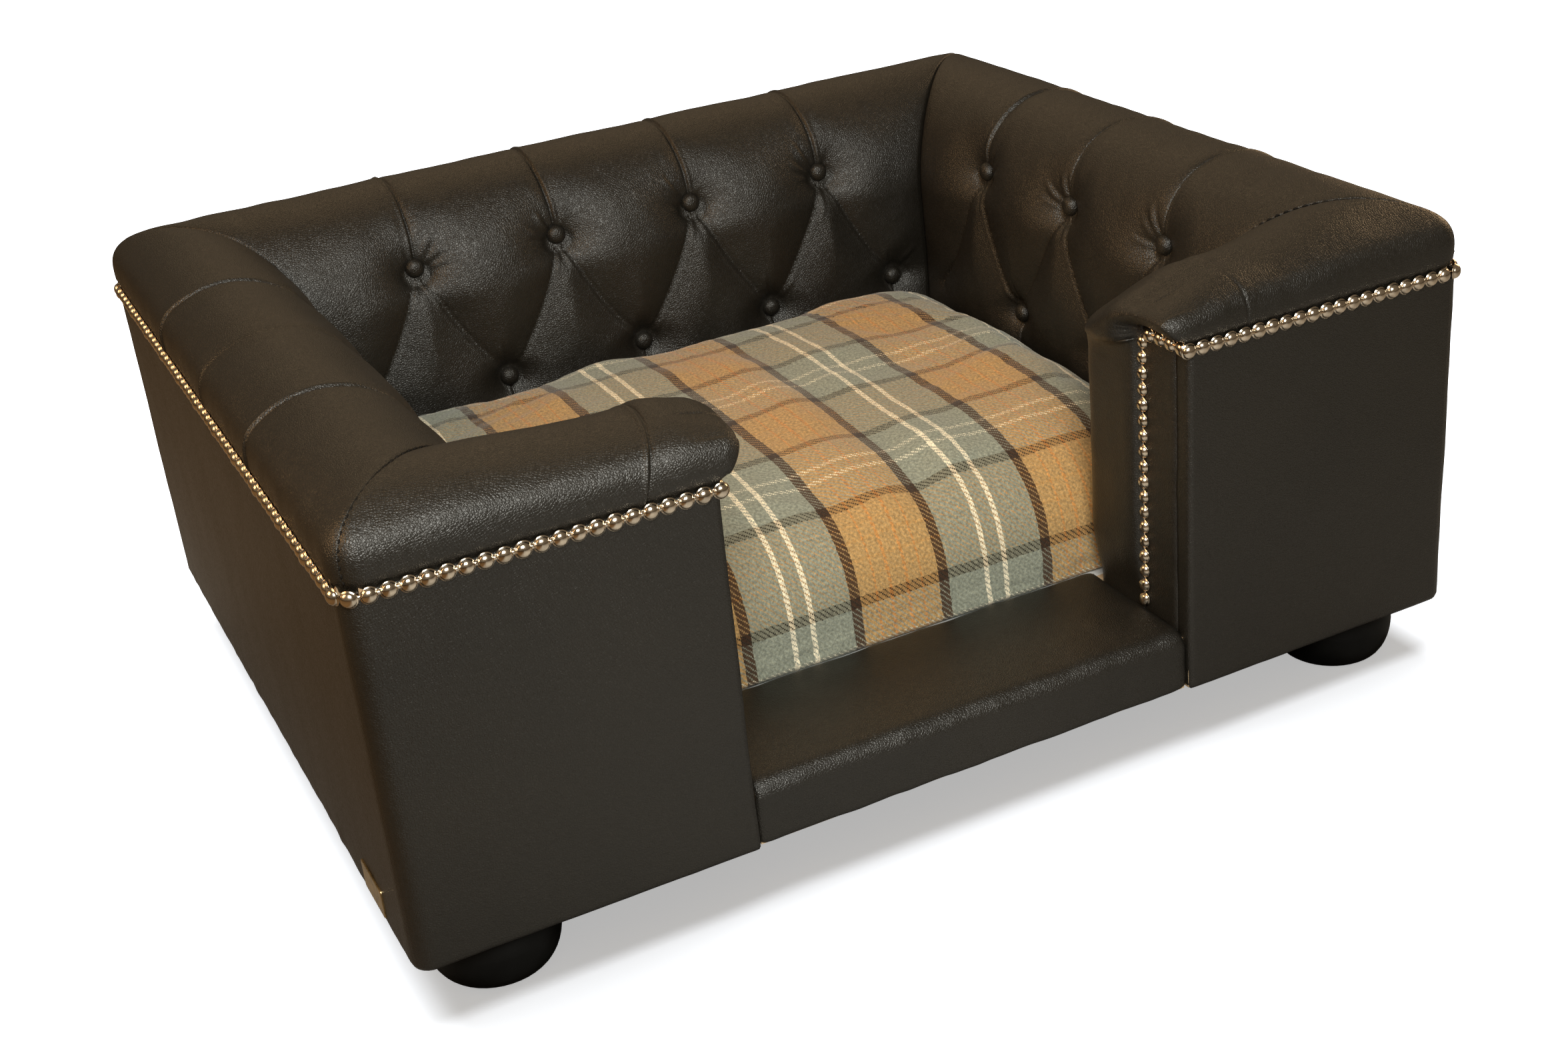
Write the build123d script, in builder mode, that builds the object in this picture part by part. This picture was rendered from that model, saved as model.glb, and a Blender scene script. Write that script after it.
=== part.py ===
"""A chesterfield dog bed: a timber box on bun feet, four buttoned padded walls and a loose cushion.

Millimetres, +Z up, +Y to the back, +X to the right as seen from the front.
The origin is on the floor, in the middle of the footprint.
A wall is drawn in its own plane: across, from its outside inwards, and up from the floor.
"""

import os
from math import cos, radians, sin

from build123d import *

os.makedirs("parts", exist_ok=True)

# Overall sizes, between the faces of the nail heads
outer_width = 880.0
outer_depth = 722.0
foot_height = 50.0
nail_line_height = 330.0
roll_rise = 55.0
opening_width = 366.0
corner_radius = 16.0

# Layers of a wall, from the outside inwards
nail_strip_thickness = 3.0
leather_thickness = 2.0
outer_board_thickness = 6.0
timber_width = 45.0
inner_board_thickness = 4.0
fitting_gap = 0.3
foam_gap = 0.5

# Base
base_rail_height = 30.0
corner_block_size = 100.0
deck_thickness = 12.0
lining_thickness = 1.0
dust_cover_thickness = 0.8
dust_cover_margin = 20.0

# Walls
top_rail_height = 40.0
nail_strip_width = 11.0
rail_above_nails = 10.0
nail_run_radius = 12.0
wing_panel_gap = 2.0
facing_thickness = 4.0
shadow_gap = 1.0

# Padding
side_pad_reach = 143.0
wing_pad_reach = 131.0
roll_overhang = 4.0
roll_outer_turn = 53.0
roll_shoulder_angle = 50.0
roll_radius_share = 2.11
roll_lift = 1.0
pad_corner_radius = 26.0
scroll_overhang = 24.0
scroll_edge_radius = 11.0
scroll_under_height = 14.0

# Buttons
button_radius = 9.0
button_height = 6.0
button_edge = 1.5
seat_radius = 11.0
upper_row_height = 321.0
lower_row_height = 204.0
upper_seat_reach = 119.0
lower_seat_reach = 129.0
rear_corner_margin = 29.0
side_corner_margin = 18.5
side_row_shift = 2.0
rear_upper_count = 4
rear_lower_count = 5
side_upper_count = 3
side_lower_count = 2
dimple_flare = 2.0
dimple_height = 26.0
pleat_lift = 4.0
pleat_height = 24.0
pleat_half_width = 27.0

# Entry step
step_height = 100.0
step_face_recess = 2.0
step_edge_radius = 12.0
step_side_gap = 0.5

# Feet and their fixings
foot_inset_x = 70.5
foot_inset_y = 60.0
foot_radius = 49.0
foot_base_radius = 34.0
foot_top_radius = 44.0
foot_widest_height = 30.0
bolt_radius = 4.0
bolt_depth_in_foot = 35.0
bolt_clearance = 0.5
nut_flange_radius = 11.0
nut_flange_thickness = 1.2
nut_barrel_radius = 5.2
nut_barrel_length = 9.0
nut_bore_gap = 0.1

# Cushion
cushion_side_gap = 8.0
cushion_front_gap = 3.0
cushion_rear_gap = 10.0
cushion_height = 120.0
cushion_corner_radius = 45.0
cushion_top_round = 42.0
cushion_bottom_round = 24.0
cushion_cloth = 1.5
zip_end_margin = 59.0
zip_tape_height = 22.0
zip_tape_thickness = 1.0
zip_teeth_height = 6.0
zip_teeth_thickness = 0.8
zip_height_above_deck = 40.0
slider_length = 12.0
slider_height = 9.0
slider_thickness = 3.0
pull_length = 22.0
pull_width = 5.0
pull_thickness = 1.2
pull_lap = 2.0

# A cut runs this far past what it cuts
overrun = 12.0

# Places worked out from the sizes above
half_width = outer_width / 2
half_depth = outer_depth / 2
half_opening = opening_width / 2
cover_face = nail_strip_thickness
board_face = cover_face + leather_thickness
frame_face = board_face + outer_board_thickness
frame_back = frame_face + timber_width
pad_back = frame_back + inner_board_thickness
base_rail_top = foot_height + base_rail_height
deck_top = base_rail_top + deck_thickness
lining_top = deck_top + lining_thickness
frame_top = nail_line_height + rail_above_nails
post_top = frame_top - top_rail_height
nail_run_bottom = nail_line_height - nail_strip_width / 2
nail_run_top = nail_line_height + nail_strip_width / 2
roll_top_height = nail_line_height + roll_rise
roll_spring_height = frame_top + roll_lift
roll_height = roll_top_height - roll_spring_height
turn_rise_share = sin(radians(roll_outer_turn))
roll_outer_radius = roll_height / (turn_rise_share + roll_radius_share * (1 - turn_rise_share))
roll_top_radius = roll_radius_share * roll_outer_radius
inner_width = outer_width - 2 * side_pad_reach
inner_depth = outer_depth - side_pad_reach - wing_pad_reach
rear_button_pitch = (inner_width - 2 * rear_corner_margin) / (rear_lower_count - 1)
side_button_pitch = (inner_depth - 2 * side_corner_margin) / side_upper_count
side_button_centre = (wing_pad_reach - side_pad_reach) / 2 - side_row_shift
zip_length = inner_width - 2 * (cushion_side_gap + zip_end_margin)
wing_frame_end = half_opening + facing_thickness
wing_panel_end = half_opening + wing_panel_gap
scroll_end = half_opening - scroll_overhang
scroll_under_top = frame_top - fitting_gap + scroll_under_height
pad_bottom = lining_top + fitting_gap
mitre_reach = side_pad_reach + overrun

# Wall planes: X runs inwards, Y up, and Z along the wall
rear_plane = Plane(origin=(0, half_depth, 0), x_dir=(0, -1, 0), z_dir=(-1, 0, 0))
left_plane = Plane(origin=(-half_width, 0, 0), x_dir=(1, 0, 0), z_dir=(0, -1, 0))
right_plane = Plane(origin=(half_width, 0, 0), x_dir=(-1, 0, 0), z_dir=(0, 1, 0))
front_plane = Plane(origin=(0, -half_depth, 0), x_dir=(0, 1, 0), z_dir=(1, 0, 0))


def save(block, name):
    """Label a finished piece and write its file."""
    block.part.label = name
    export_step(block.part, f"parts/{name}.step")


def save_shape(shape, name):
    """Label a mirrored piece and write its file."""
    shape.label = name
    export_step(shape, f"parts/{name}.step")


def block_between(low, high, mode=Mode.ADD):
    """A square-edged piece between two opposite corners."""
    size = [b - a for a, b in zip(low, high)]
    with Locations(Location(low)):
        Box(*size, align=(Align.MIN, Align.MIN, Align.MIN), mode=mode)


def wall_board(name, low, high):
    """A plain board or rail, from one corner to the other."""
    with BuildPart() as board:
        block_between(low, high)
    save(board, name)


def foot_places():
    """The centres of the four feet in plan."""
    x = half_width - foot_inset_x
    y = half_depth - foot_inset_y
    return [(sx * x, sy * y) for sx in (-1, 1) for sy in (-1, 1)]


def mirrored_corners(x, y):
    """The four places that mirror one corner of the footprint."""
    return [(sx * x, sy * y) for sx in (-1, 1) for sy in (-1, 1)]


# Feet: turned buns, flat under and on top
def make_feet():
    with BuildPart() as feet:
        with BuildSketch(Plane.XZ):
            with BuildLine():
                Line((0, 0), (foot_base_radius, 0))
                EllipticalCenterArc(
                    (foot_base_radius, foot_widest_height),
                    foot_radius - foot_base_radius,
                    foot_widest_height,
                    start_angle=-90,
                    arc_size=90,
                )
                TangentArc((foot_radius, foot_widest_height), (foot_top_radius, foot_height), tangent=(0, 1))
                Polyline((foot_top_radius, foot_height), (0, foot_height), (0, 0))
            make_face()
        revolve(axis=Axis.Z)
        with Locations((0, 0, foot_height)):
            Hole(bolt_radius + nut_bore_gap, depth=bolt_depth_in_foot + bolt_clearance)
    one_foot = feet.part
    with BuildPart() as all_feet:
        with Locations(*foot_places()):
            add(one_foot)
    save(all_feet, "bun_feet")


# Hanger bolts, screwed into the feet and through the corner blocks
def make_foot_bolts():
    bolt_length = bolt_depth_in_foot + base_rail_height - nut_flange_thickness
    with BuildPart() as bolts:
        with Locations(*[(x, y, foot_height - bolt_depth_in_foot) for x, y in foot_places()]):
            Cylinder(bolt_radius, bolt_length, align=(Align.CENTER, Align.CENTER, Align.MIN))
    save(bolts, "foot_bolts")


# Tee nuts, let into the tops of the corner blocks
def make_tee_nuts():
    with BuildPart() as nuts:
        tops = [(x, y, base_rail_top) for x, y in foot_places()]
        with Locations(*tops):
            Cylinder(nut_flange_radius, nut_flange_thickness, align=(Align.CENTER, Align.CENTER, Align.MAX))
            Cylinder(nut_barrel_radius, nut_barrel_length, align=(Align.CENTER, Align.CENTER, Align.MAX))
        with Locations(*tops):
            Hole(bolt_radius + nut_bore_gap, depth=nut_barrel_length)
    save(nuts, "tee_nuts")


# Base: four corner blocks, four rails between them, and the deck
def make_corner_blocks():
    with BuildPart() as blocks:
        middle = frame_face + corner_block_size / 2
        places = mirrored_corners(half_width - middle, half_depth - middle)
        with Locations(*[(x, y, foot_height) for x, y in places]):
            Box(
                corner_block_size,
                corner_block_size,
                base_rail_height,
                align=(Align.CENTER, Align.CENTER, Align.MIN),
            )
        with Locations(*[(x, y, base_rail_top) for x, y in foot_places()]):
            CounterBoreHole(
                bolt_radius + bolt_clearance,
                nut_flange_radius + fitting_gap,
                nut_flange_thickness,
                depth=base_rail_height,
            )
            Hole(nut_barrel_radius + fitting_gap, depth=nut_barrel_length + fitting_gap)
    save(blocks, "corner_blocks")


def make_base():
    block_end = frame_face + corner_block_size
    rail_low, rail_high = foot_height, base_rail_top
    x_out, y_out = half_width - frame_face, half_depth - frame_face
    x_in, y_in = half_width - frame_back, half_depth - frame_back
    x_end, y_end = half_width - block_end, half_depth - block_end
    wall_board("front_base_rail", (-x_end, -y_out, rail_low), (x_end, -y_in, rail_high))
    wall_board("rear_base_rail", (-x_end, y_in, rail_low), (x_end, y_out, rail_high))
    wall_board("left_base_rail", (-x_out, -y_end, rail_low), (-x_in, y_end, rail_high))
    wall_board("right_base_rail", (x_in, -y_end, rail_low), (x_out, y_end, rail_high))
    wall_board("deck_board", (-x_out, -y_out, base_rail_top), (x_out, y_out, deck_top))


def make_linings():
    x_side = half_width - pad_back - fitting_gap
    y_rear = half_depth - pad_back - fitting_gap
    y_front = -half_depth + wing_pad_reach + fitting_gap
    wall_board("deck_lining", (-x_side, y_front, deck_top), (x_side, y_rear, lining_top))
    with BuildPart() as dust:
        x = half_width - dust_cover_margin
        y = half_depth - dust_cover_margin
        block_between((-x, -y, foot_height - dust_cover_thickness), (x, y, foot_height))
        with Locations(*[(px, py, foot_height) for px, py in foot_places()]):
            Hole(foot_top_radius + dust_cover_thickness, depth=overrun)
    save(dust, "dust_cover")


# Wall frame: posts on the deck, rails on the posts, boards outside and inside
def make_posts():
    middle = frame_face + timber_width / 2
    corner_places = mirrored_corners(half_width - middle, half_depth - middle)
    wing_middle = wing_frame_end + timber_width / 2
    wing_places = [(side * wing_middle, -half_depth + middle) for side in (-1, 1)]
    with BuildPart() as posts:
        with Locations(*[(x, y, deck_top) for x, y in corner_places + wing_places]):
            Box(
                timber_width,
                timber_width,
                post_top - deck_top,
                align=(Align.CENTER, Align.CENTER, Align.MIN),
            )
    save(posts, "wall_posts")


def make_top_rails():
    low, high = post_top, frame_top
    x_out, y_out = half_width - frame_face, half_depth - frame_face
    x_in, y_in = half_width - frame_back, half_depth - frame_back
    wall_board("rear_top_rail", (-x_out, y_in, low), (x_out, y_out, high))
    wall_board("left_top_rail", (-x_out, -y_in, low), (-x_in, y_in, high))
    wall_board("right_top_rail", (x_in, -y_in, low), (x_out, y_in, high))
    wall_board("left_wing_rail", (-x_out, -y_out, low), (-wing_frame_end, -y_in, high))
    wall_board("right_wing_rail", (wing_frame_end, -y_out, low), (x_out, -y_in, high))


def make_inner_boards():
    low, high = deck_top, frame_top
    x_out, y_out = half_width - frame_back, half_depth - frame_back
    x_in, y_in = half_width - pad_back, half_depth - pad_back
    wall_board("rear_inner_board", (-x_out, y_in, low), (x_out, y_out, high))
    wall_board("left_inner_board", (-x_out, -y_in, low), (-x_in, y_in, high))
    wall_board("right_inner_board", (x_in, -y_in, low), (x_out, y_in, high))
    wall_board("left_wing_inner_board", (-x_out, -y_out, low), (-wing_frame_end, -y_in, high))
    wall_board("right_wing_inner_board", (wing_frame_end, -y_out, low), (x_out, -y_in, high))


def make_outer_boards():
    low, high = foot_height, frame_top
    x_out, y_out = half_width - board_face, half_depth - board_face
    x_in, y_in = half_width - frame_face, half_depth - frame_face
    x_end, y_end = half_width - corner_radius, half_depth - corner_radius
    wall_board("rear_outer_board", (-x_end, y_in, low), (x_end, y_out, high))
    wall_board("left_outer_board", (-x_out, -y_end, low), (-x_in, y_end, high))
    wall_board("right_outer_board", (x_in, -y_end, low), (x_out, y_end, high))
    wall_board("left_wing_outer_board", (-x_end, -y_out, low), (-wing_panel_end, -y_in, high))
    wall_board("right_wing_outer_board", (wing_panel_end, -y_out, low), (x_end, -y_in, high))


# Outer leather and nail strips: rings round the box, divided where the walls meet
def wall_sector(wall, front_end):
    """The plan of one wall's share of a ring. The side walls take the rounded corners."""
    x_out, y_out = half_width + overrun, half_depth + overrun
    x_split, y_split = half_width - corner_radius, half_depth - corner_radius
    sectors = {
        "left": ((-x_out, -y_out), (-x_split, y_out)),
        "right": ((x_split, -y_out), (x_out, y_out)),
        "rear": ((-x_split, 0), (x_split, y_out)),
        "left_wing": ((-x_split, -y_out), (-front_end, 0)),
        "right_wing": ((front_end, -y_out), (x_split, 0)),
    }
    return sectors[wall]


def ring_piece(wall, face, back, low, high, front_end):
    """One wall's length of a ring whose faces lie at two distances in from the outside."""
    sector_low, sector_high = wall_sector(wall, front_end)
    with BuildSketch(Plane.XY.offset(low)) as ring:
        RectangleRounded(outer_width - 2 * face, outer_depth - 2 * face, corner_radius - face)
        RectangleRounded(
            outer_width - 2 * back, outer_depth - 2 * back, corner_radius - back, mode=Mode.SUBTRACT
        )
        with Locations(sector_low):
            Rectangle(
                sector_high[0] - sector_low[0],
                sector_high[1] - sector_low[1],
                align=(Align.MIN, Align.MIN),
                mode=Mode.INTERSECT,
            )
    extrude(ring.sketch, amount=high - low)


def make_outer_covers():
    for wall in ("rear", "left", "right", "left_wing", "right_wing"):
        with BuildPart() as cover:
            ring_piece(wall, cover_face, board_face, foot_height, nail_line_height, wing_panel_end)
        save(cover, f"{wall}_outer_cover")


def make_nail_strips():
    for wall in ("rear", "left", "right"):
        with BuildPart() as strip:
            ring_piece(wall, 0, cover_face, nail_run_bottom, nail_run_top, 0)
        save(strip, f"{wall}_nail_strip")


def make_wing_nail_strips():
    """Each runs along the wing's front, turns in at the opening, and goes down its end to the step."""
    front_end = half_opening - nail_strip_thickness
    end_plane = Plane(origin=(half_opening, -half_depth, 0), x_dir=(0, 1, 0), z_dir=(1, 0, 0))
    with BuildPart() as strip:
        ring_piece("right_wing", 0, cover_face, nail_run_bottom, nail_run_top, front_end)
        with BuildSketch(end_plane.offset(-nail_strip_thickness)) as end_run:
            run_back = pad_back + nail_strip_width / 2
            with Locations((0, nail_run_bottom)):
                Rectangle(run_back, nail_strip_width, align=(Align.MIN, Align.MIN))
            with Locations((run_back - nail_strip_width, step_height + fitting_gap)):
                Rectangle(
                    nail_strip_width,
                    nail_run_top - step_height - fitting_gap,
                    align=(Align.MIN, Align.MIN),
                )
            bend = end_run.vertices().sort_by_distance((run_back, nail_run_top))[0:1]
            fillet(bend, nail_run_radius)
        extrude(amount=nail_strip_thickness)
    save(strip, "right_wing_nail_strip")
    save_shape(mirror(strip.part, about=Plane.YZ), "left_wing_nail_strip")


def make_facings():
    """The upholstered strips that close the wings' ends, in front of the padding."""
    y_front = -half_depth + frame_face + shadow_gap
    y_back = -half_depth + pad_back
    low = (half_opening, y_front, deck_top)
    high = (wing_frame_end, y_back, frame_top - nail_strip_width / 2 + roll_lift)
    with BuildPart() as facing:
        block_between(low, high)
        front_edge = facing.edges().filter_by(Axis.Z).sort_by_distance((half_opening, y_front, deck_top))[0:1]
        fillet(front_edge, facing_thickness - shadow_gap)
    save(facing, "right_wing_facing")
    save_shape(mirror(facing.part, about=Plane.YZ), "left_wing_facing")


# Padding: one outline for foam and leather, with an inset for each layer
def roll_and_face(reach, inset):
    """The padded outside of a wall's section, from the nail line over the roll and down to the deck."""
    outer = JernArc(
        start=(inset - roll_overhang, roll_spring_height),
        tangent=(0, 1),
        radius=roll_outer_radius - inset,
        arc_size=-roll_outer_turn,
    )
    top = JernArc(
        start=outer @ 1,
        tangent=outer % 1,
        radius=roll_top_radius - inset,
        arc_size=roll_outer_turn + roll_shoulder_angle - 180,
    )
    across = reach - inset - (top @ 1).X
    shoulder = JernArc(
        start=top @ 1,
        tangent=top % 1,
        radius=across / (1 - cos(radians(roll_shoulder_angle))),
        arc_size=-roll_shoulder_angle,
    )
    inner = Line(shoulder @ 1, (reach - inset, pad_bottom))
    return outer, inner


def foam_section(reach, inset):
    """The foam's closed section: over the top rail and down the inner board."""
    with BuildLine() as outline:
        outer, inner = roll_and_face(reach, inset)
        Polyline(
            outer @ 0,
            (board_face, frame_top),
            (pad_back, frame_top),
            (pad_back, pad_bottom),
            inner @ 1,
        )
    make_face(outline.edges())


def trim_to_wall(wall, end=None, inset=0):
    """Cut a length of padding to its mitres, its rounded outer corners and a wing's end."""
    out = roll_overhang + overrun
    x_out, y_out = half_width + out, half_depth + out
    x_in, y_in = half_width - mitre_reach, half_depth - mitre_reach
    plans = {
        "rear": ((-x_out, y_out), (x_out, y_out), (x_in, y_in), (-x_in, y_in)),
        "left": ((-x_out, -y_out), (-x_in, -y_in), (-x_in, y_in), (-x_out, y_out)),
        "right": ((x_out, -y_out), (x_out, y_out), (x_in, y_in), (x_in, -y_in)),
        "right_wing": ((x_out, -y_out), (x_in, -y_in), (end, -y_in), (end, -y_out)),
    }
    spread = 2 * (roll_overhang - inset)
    with BuildSketch(Plane.XY) as share:
        Polygon(*plans[wall], align=None)
        RectangleRounded(
            outer_width + spread, outer_depth + spread, pad_corner_radius - inset, mode=Mode.INTERSECT
        )
    extrude(share.sketch, amount=roll_top_height + overrun, mode=Mode.INTERSECT)


def rear_seats():
    """Along and up for each button of the rear wall, upper row then lower row."""
    upper = [(i - (rear_upper_count - 1) / 2) * rear_button_pitch for i in range(rear_upper_count)]
    lower = [(i - (rear_lower_count - 1) / 2) * rear_button_pitch for i in range(rear_lower_count)]
    return upper, lower


def side_seats(direction):
    """The same for a side wall, whose along axis points forwards on the left, backwards on the right."""
    middle = direction * side_button_centre
    upper = [middle + (i - (side_upper_count - 1) / 2) * side_button_pitch for i in range(side_upper_count)]
    lower = [middle + (i - (side_lower_count - 1) / 2) * side_button_pitch for i in range(side_lower_count)]
    return upper, lower


def seat_points(plane, rows):
    """The middle of each button's seat, in the bed's frame."""
    upper, lower = rows
    points = [plane.from_local_coords((upper_seat_reach, upper_row_height, s)) for s in upper]
    points += [plane.from_local_coords((lower_seat_reach, lower_row_height, s)) for s in lower]
    return points


def seat_planes(plane, rows, depth=0):
    """A plane on each seat that faces into the bed, sunk by a depth."""
    inwards = plane.x_dir
    return [Plane(origin=point - inwards * depth, z_dir=inwards) for point in seat_points(plane, rows)]


def cut_dimples(plane, rows, depth=0):
    """Sink a flared dimple to each button's seat."""
    with Locations(*seat_planes(plane, rows, depth)):
        Cone(
            seat_radius,
            seat_radius + dimple_flare * dimple_height,
            dimple_height,
            align=(Align.CENTER, Align.CENTER, Align.MIN),
            mode=Mode.SUBTRACT,
        )


def cut_pleats(plane, rows, pitch, depth=0):
    """Sink the diagonal valleys that join each upper button to the lower ones beside it."""
    upper, lower = rows
    reach = pleat_lift - depth
    for along in upper:
        for side in (-1, 1):
            foot_along = along + side * pitch / 2
            if abs(foot_along) > abs(lower[0]) + pitch and abs(foot_along) > abs(lower[-1]) + pitch:
                continue
            top = plane.from_local_coords((upper_seat_reach + reach, upper_row_height, along))
            foot = plane.from_local_coords((lower_seat_reach + reach, lower_row_height, foot_along))
            run = foot - top
            inwards = plane.x_dir
            across = run.cross(inwards).normalized()
            direction = run.normalized()
            opening = across.cross(direction)
            if opening.dot(inwards) < 0:
                opening = -opening
            section = Plane(origin=top - direction * depth, x_dir=opening, z_dir=direction)
            with BuildSketch(section) as valley:
                Polygon(
                    (0, 0),
                    (pleat_height, pleat_half_width),
                    (pleat_height, -pleat_half_width),
                    align=None,
                )
            extrude(valley.sketch, amount=run.length + 2 * depth, mode=Mode.SUBTRACT)


def pad_body(wall, plane, length, reach, inset, rows, pitch, depth):
    """A wall's padding as one solid block, tufted, at one layer's inset."""
    with BuildPart() as body:
        with BuildSketch(plane):
            foam_section(reach, inset)
        extrude(amount=length / 2, both=True)
        trim_to_wall(wall, inset=inset)
        cut_dimples(plane, rows, depth)
        cut_pleats(plane, rows, pitch, depth)
    return body.part


def skirt(plane, length, wall, end=None):
    """The leather's outer edge: it flares in under the roll and is tucked in behind the nails."""
    outside = -roll_overhang
    bottom = nail_line_height + fitting_gap
    above_nails = nail_run_top + fitting_gap
    with BuildPart() as edge:
        with BuildSketch(plane):
            Polygon(
                (cover_face, above_nails),
                (outside, roll_spring_height),
                (outside + leather_thickness, roll_spring_height),
                (board_face, above_nails + leather_thickness / 2),
                (board_face, above_nails),
                align=None,
            )
        extrude(amount=length / 2, both=True)
        with BuildSketch(Plane.XY.offset(bottom)):
            RectangleRounded(
                outer_width - 2 * cover_face, outer_depth - 2 * cover_face, corner_radius - cover_face
            )
            RectangleRounded(
                outer_width - 2 * board_face,
                outer_depth - 2 * board_face,
                corner_radius - board_face,
                mode=Mode.SUBTRACT,
            )
        extrude(amount=above_nails - bottom)
        trim_to_wall(wall, end=end)
    return edge.part


def make_padding(wall, plane, length, rows, pitch):
    """A side or rear wall's foam, and the buttoned leather over it."""
    foam_inset = leather_thickness + foam_gap
    foam = pad_body(wall, plane, length, side_pad_reach, foam_inset, rows, pitch, foam_inset)
    foam.label = f"{wall}_foam"
    export_step(foam, f"parts/{wall}_foam.step")
    skin = pad_body(wall, plane, length, side_pad_reach, 0, rows, pitch, 0)
    core = pad_body(wall, plane, length, side_pad_reach, leather_thickness, rows, pitch, leather_thickness)
    with BuildPart() as cover:
        add(skin)
        add(core, mode=Mode.SUBTRACT)
        add(skirt(plane, length, wall))
    save(cover, f"{wall}_inner_cover")


def button_shape():
    """A covered button, domed, standing on its flat back."""
    rise = button_height - button_edge
    dome_radius = (button_radius**2 + rise**2) / (2 * rise)
    with BuildPart() as button:
        with BuildSketch(Plane.XZ):
            with BuildLine():
                Polyline((0, button_height), (0, 0), (button_radius, 0), (button_radius, button_edge))
                RadiusArc((button_radius, button_edge), (0, button_height), -dome_radius)
            make_face()
        revolve(axis=Axis.Z)
    return button.part


def make_buttons(name, places):
    one_button = button_shape()
    with BuildPart() as buttons:
        with Locations(*places):
            add(one_button)
    save(buttons, name)


# Wings: the same padding, ended with a scroll that overhangs the opening
def wing_body(inset, depth):
    """The right wing's padding as one solid block, at one layer's inset."""
    end = scroll_end + inset
    with BuildPart() as body:
        with BuildSketch(front_plane):
            foam_section(wing_pad_reach, inset)
        extrude(amount=outer_width)
        trim_to_wall("right_wing", end=end, inset=inset)
        scroll_edges = body.faces().sort_by(Axis.X)[0].edges().filter_by(GeomType.LINE, reverse=True)
        fillet(scroll_edges, scroll_edge_radius - inset)
        with BuildSketch(Plane.XZ):
            Rectangle(half_opening + inset, scroll_under_top, align=(Align.MIN, Align.MIN))
            with Locations((half_opening, scroll_under_top)):
                Ellipse(scroll_overhang - inset, scroll_under_height - inset, mode=Mode.SUBTRACT)
        extrude(amount=outer_depth, mode=Mode.SUBTRACT)
        cut_dimples(front_plane, wing_rows(), depth)
    return body.part


def wing_rows():
    """One button on each wing, below the pleat near the middle of the wing's inner face."""
    inner_corner = half_width - side_pad_reach
    return [(inner_corner + half_opening) / 2], []


def make_wing_padding():
    foam_inset = leather_thickness + foam_gap
    foam = wing_body(foam_inset, foam_inset)
    save_shape(foam, "right_wing_foam")
    save_shape(mirror(foam, about=Plane.YZ), "left_wing_foam")
    with BuildPart() as cover:
        add(wing_body(0, 0))
        add(wing_body(leather_thickness, leather_thickness), mode=Mode.SUBTRACT)
        add(skirt(front_plane, 2 * outer_width, "right_wing", end=half_opening))
    save(cover, "right_wing_inner_cover")
    save_shape(mirror(cover.part, about=Plane.YZ), "left_wing_inner_cover")


# Entry step: the deck's front edge, padded and covered between the wings
def step_outline(inset, bottom_front, bottom_back):
    """The step's padded outside in section, at one layer's inset."""
    face = cover_face + step_face_recess
    radius = step_edge_radius - inset
    top = step_height - inset
    back = wing_pad_reach - inset
    front_line = Line((face + inset, bottom_front), (face + inset, step_height - step_edge_radius))
    nose = RadiusArc(front_line @ 1, (face + step_edge_radius, top), radius)
    top_line = Line(nose @ 1, (back, top))
    back_line = Line(top_line @ 1, (back, bottom_back))
    return front_line, back_line


def make_step():
    face = cover_face + step_face_recess
    half_step = half_opening - step_side_gap
    nose_bottom = step_height - step_edge_radius
    with BuildPart() as cover:
        with BuildSketch(front_plane):
            with BuildLine():
                outer_front, outer_back = step_outline(0, foot_height, pad_bottom)
                inner_front, inner_back = step_outline(leather_thickness, foot_height, pad_bottom)
                Line(outer_front @ 0, inner_front @ 0)
                Line(outer_back @ 1, inner_back @ 1)
            make_face()
        extrude(amount=half_step, both=True)
    save(cover, "step_cover")
    with BuildPart() as foam:
        with BuildSketch(front_plane):
            with BuildLine():
                front, back = step_outline(leather_thickness + fitting_gap, nose_bottom - fitting_gap, deck_top)
                Polyline(
                    front @ 0,
                    (frame_face - fitting_gap, nose_bottom - fitting_gap),
                    (frame_face - fitting_gap, deck_top),
                    back @ 1,
                )
            make_face()
        extrude(amount=half_step - fitting_gap, both=True)
    save(foam, "step_foam")
    board_low = (-half_step, -half_depth + face + leather_thickness, foot_height)
    board_high = (half_step, -half_depth + frame_face, nose_bottom - fitting_gap)
    wall_board("step_board", board_low, board_high)


# Cushion: a soft filled core in a zipped cloth cover
def cushion_body(inset):
    x = half_width - side_pad_reach - cushion_side_gap - inset
    y_front = -half_depth + wing_pad_reach + cushion_front_gap + inset
    y_rear = half_depth - side_pad_reach - cushion_rear_gap - inset
    bottom = lining_top + fitting_gap + inset
    height = cushion_height - 2 * inset
    with BuildPart() as body:
        with BuildSketch(Plane.XY.offset(bottom)):
            with Locations((0, (y_front + y_rear) / 2)):
                RectangleRounded(2 * x, y_rear - y_front, cushion_corner_radius - inset)
        extrude(amount=height)
        fillet(body.faces().sort_by(Axis.Z)[-1].edges(), cushion_top_round - inset)
        fillet(body.faces().sort_by(Axis.Z)[0].edges(), cushion_bottom_round - inset)
    return body.part


def make_cushion():
    with BuildPart() as cover:
        add(cushion_body(0))
        add(cushion_body(cushion_cloth), mode=Mode.SUBTRACT)
    save(cover, "cushion_cover")
    save_shape(cushion_body(cushion_cloth + fitting_gap), "cushion_core")


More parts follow.
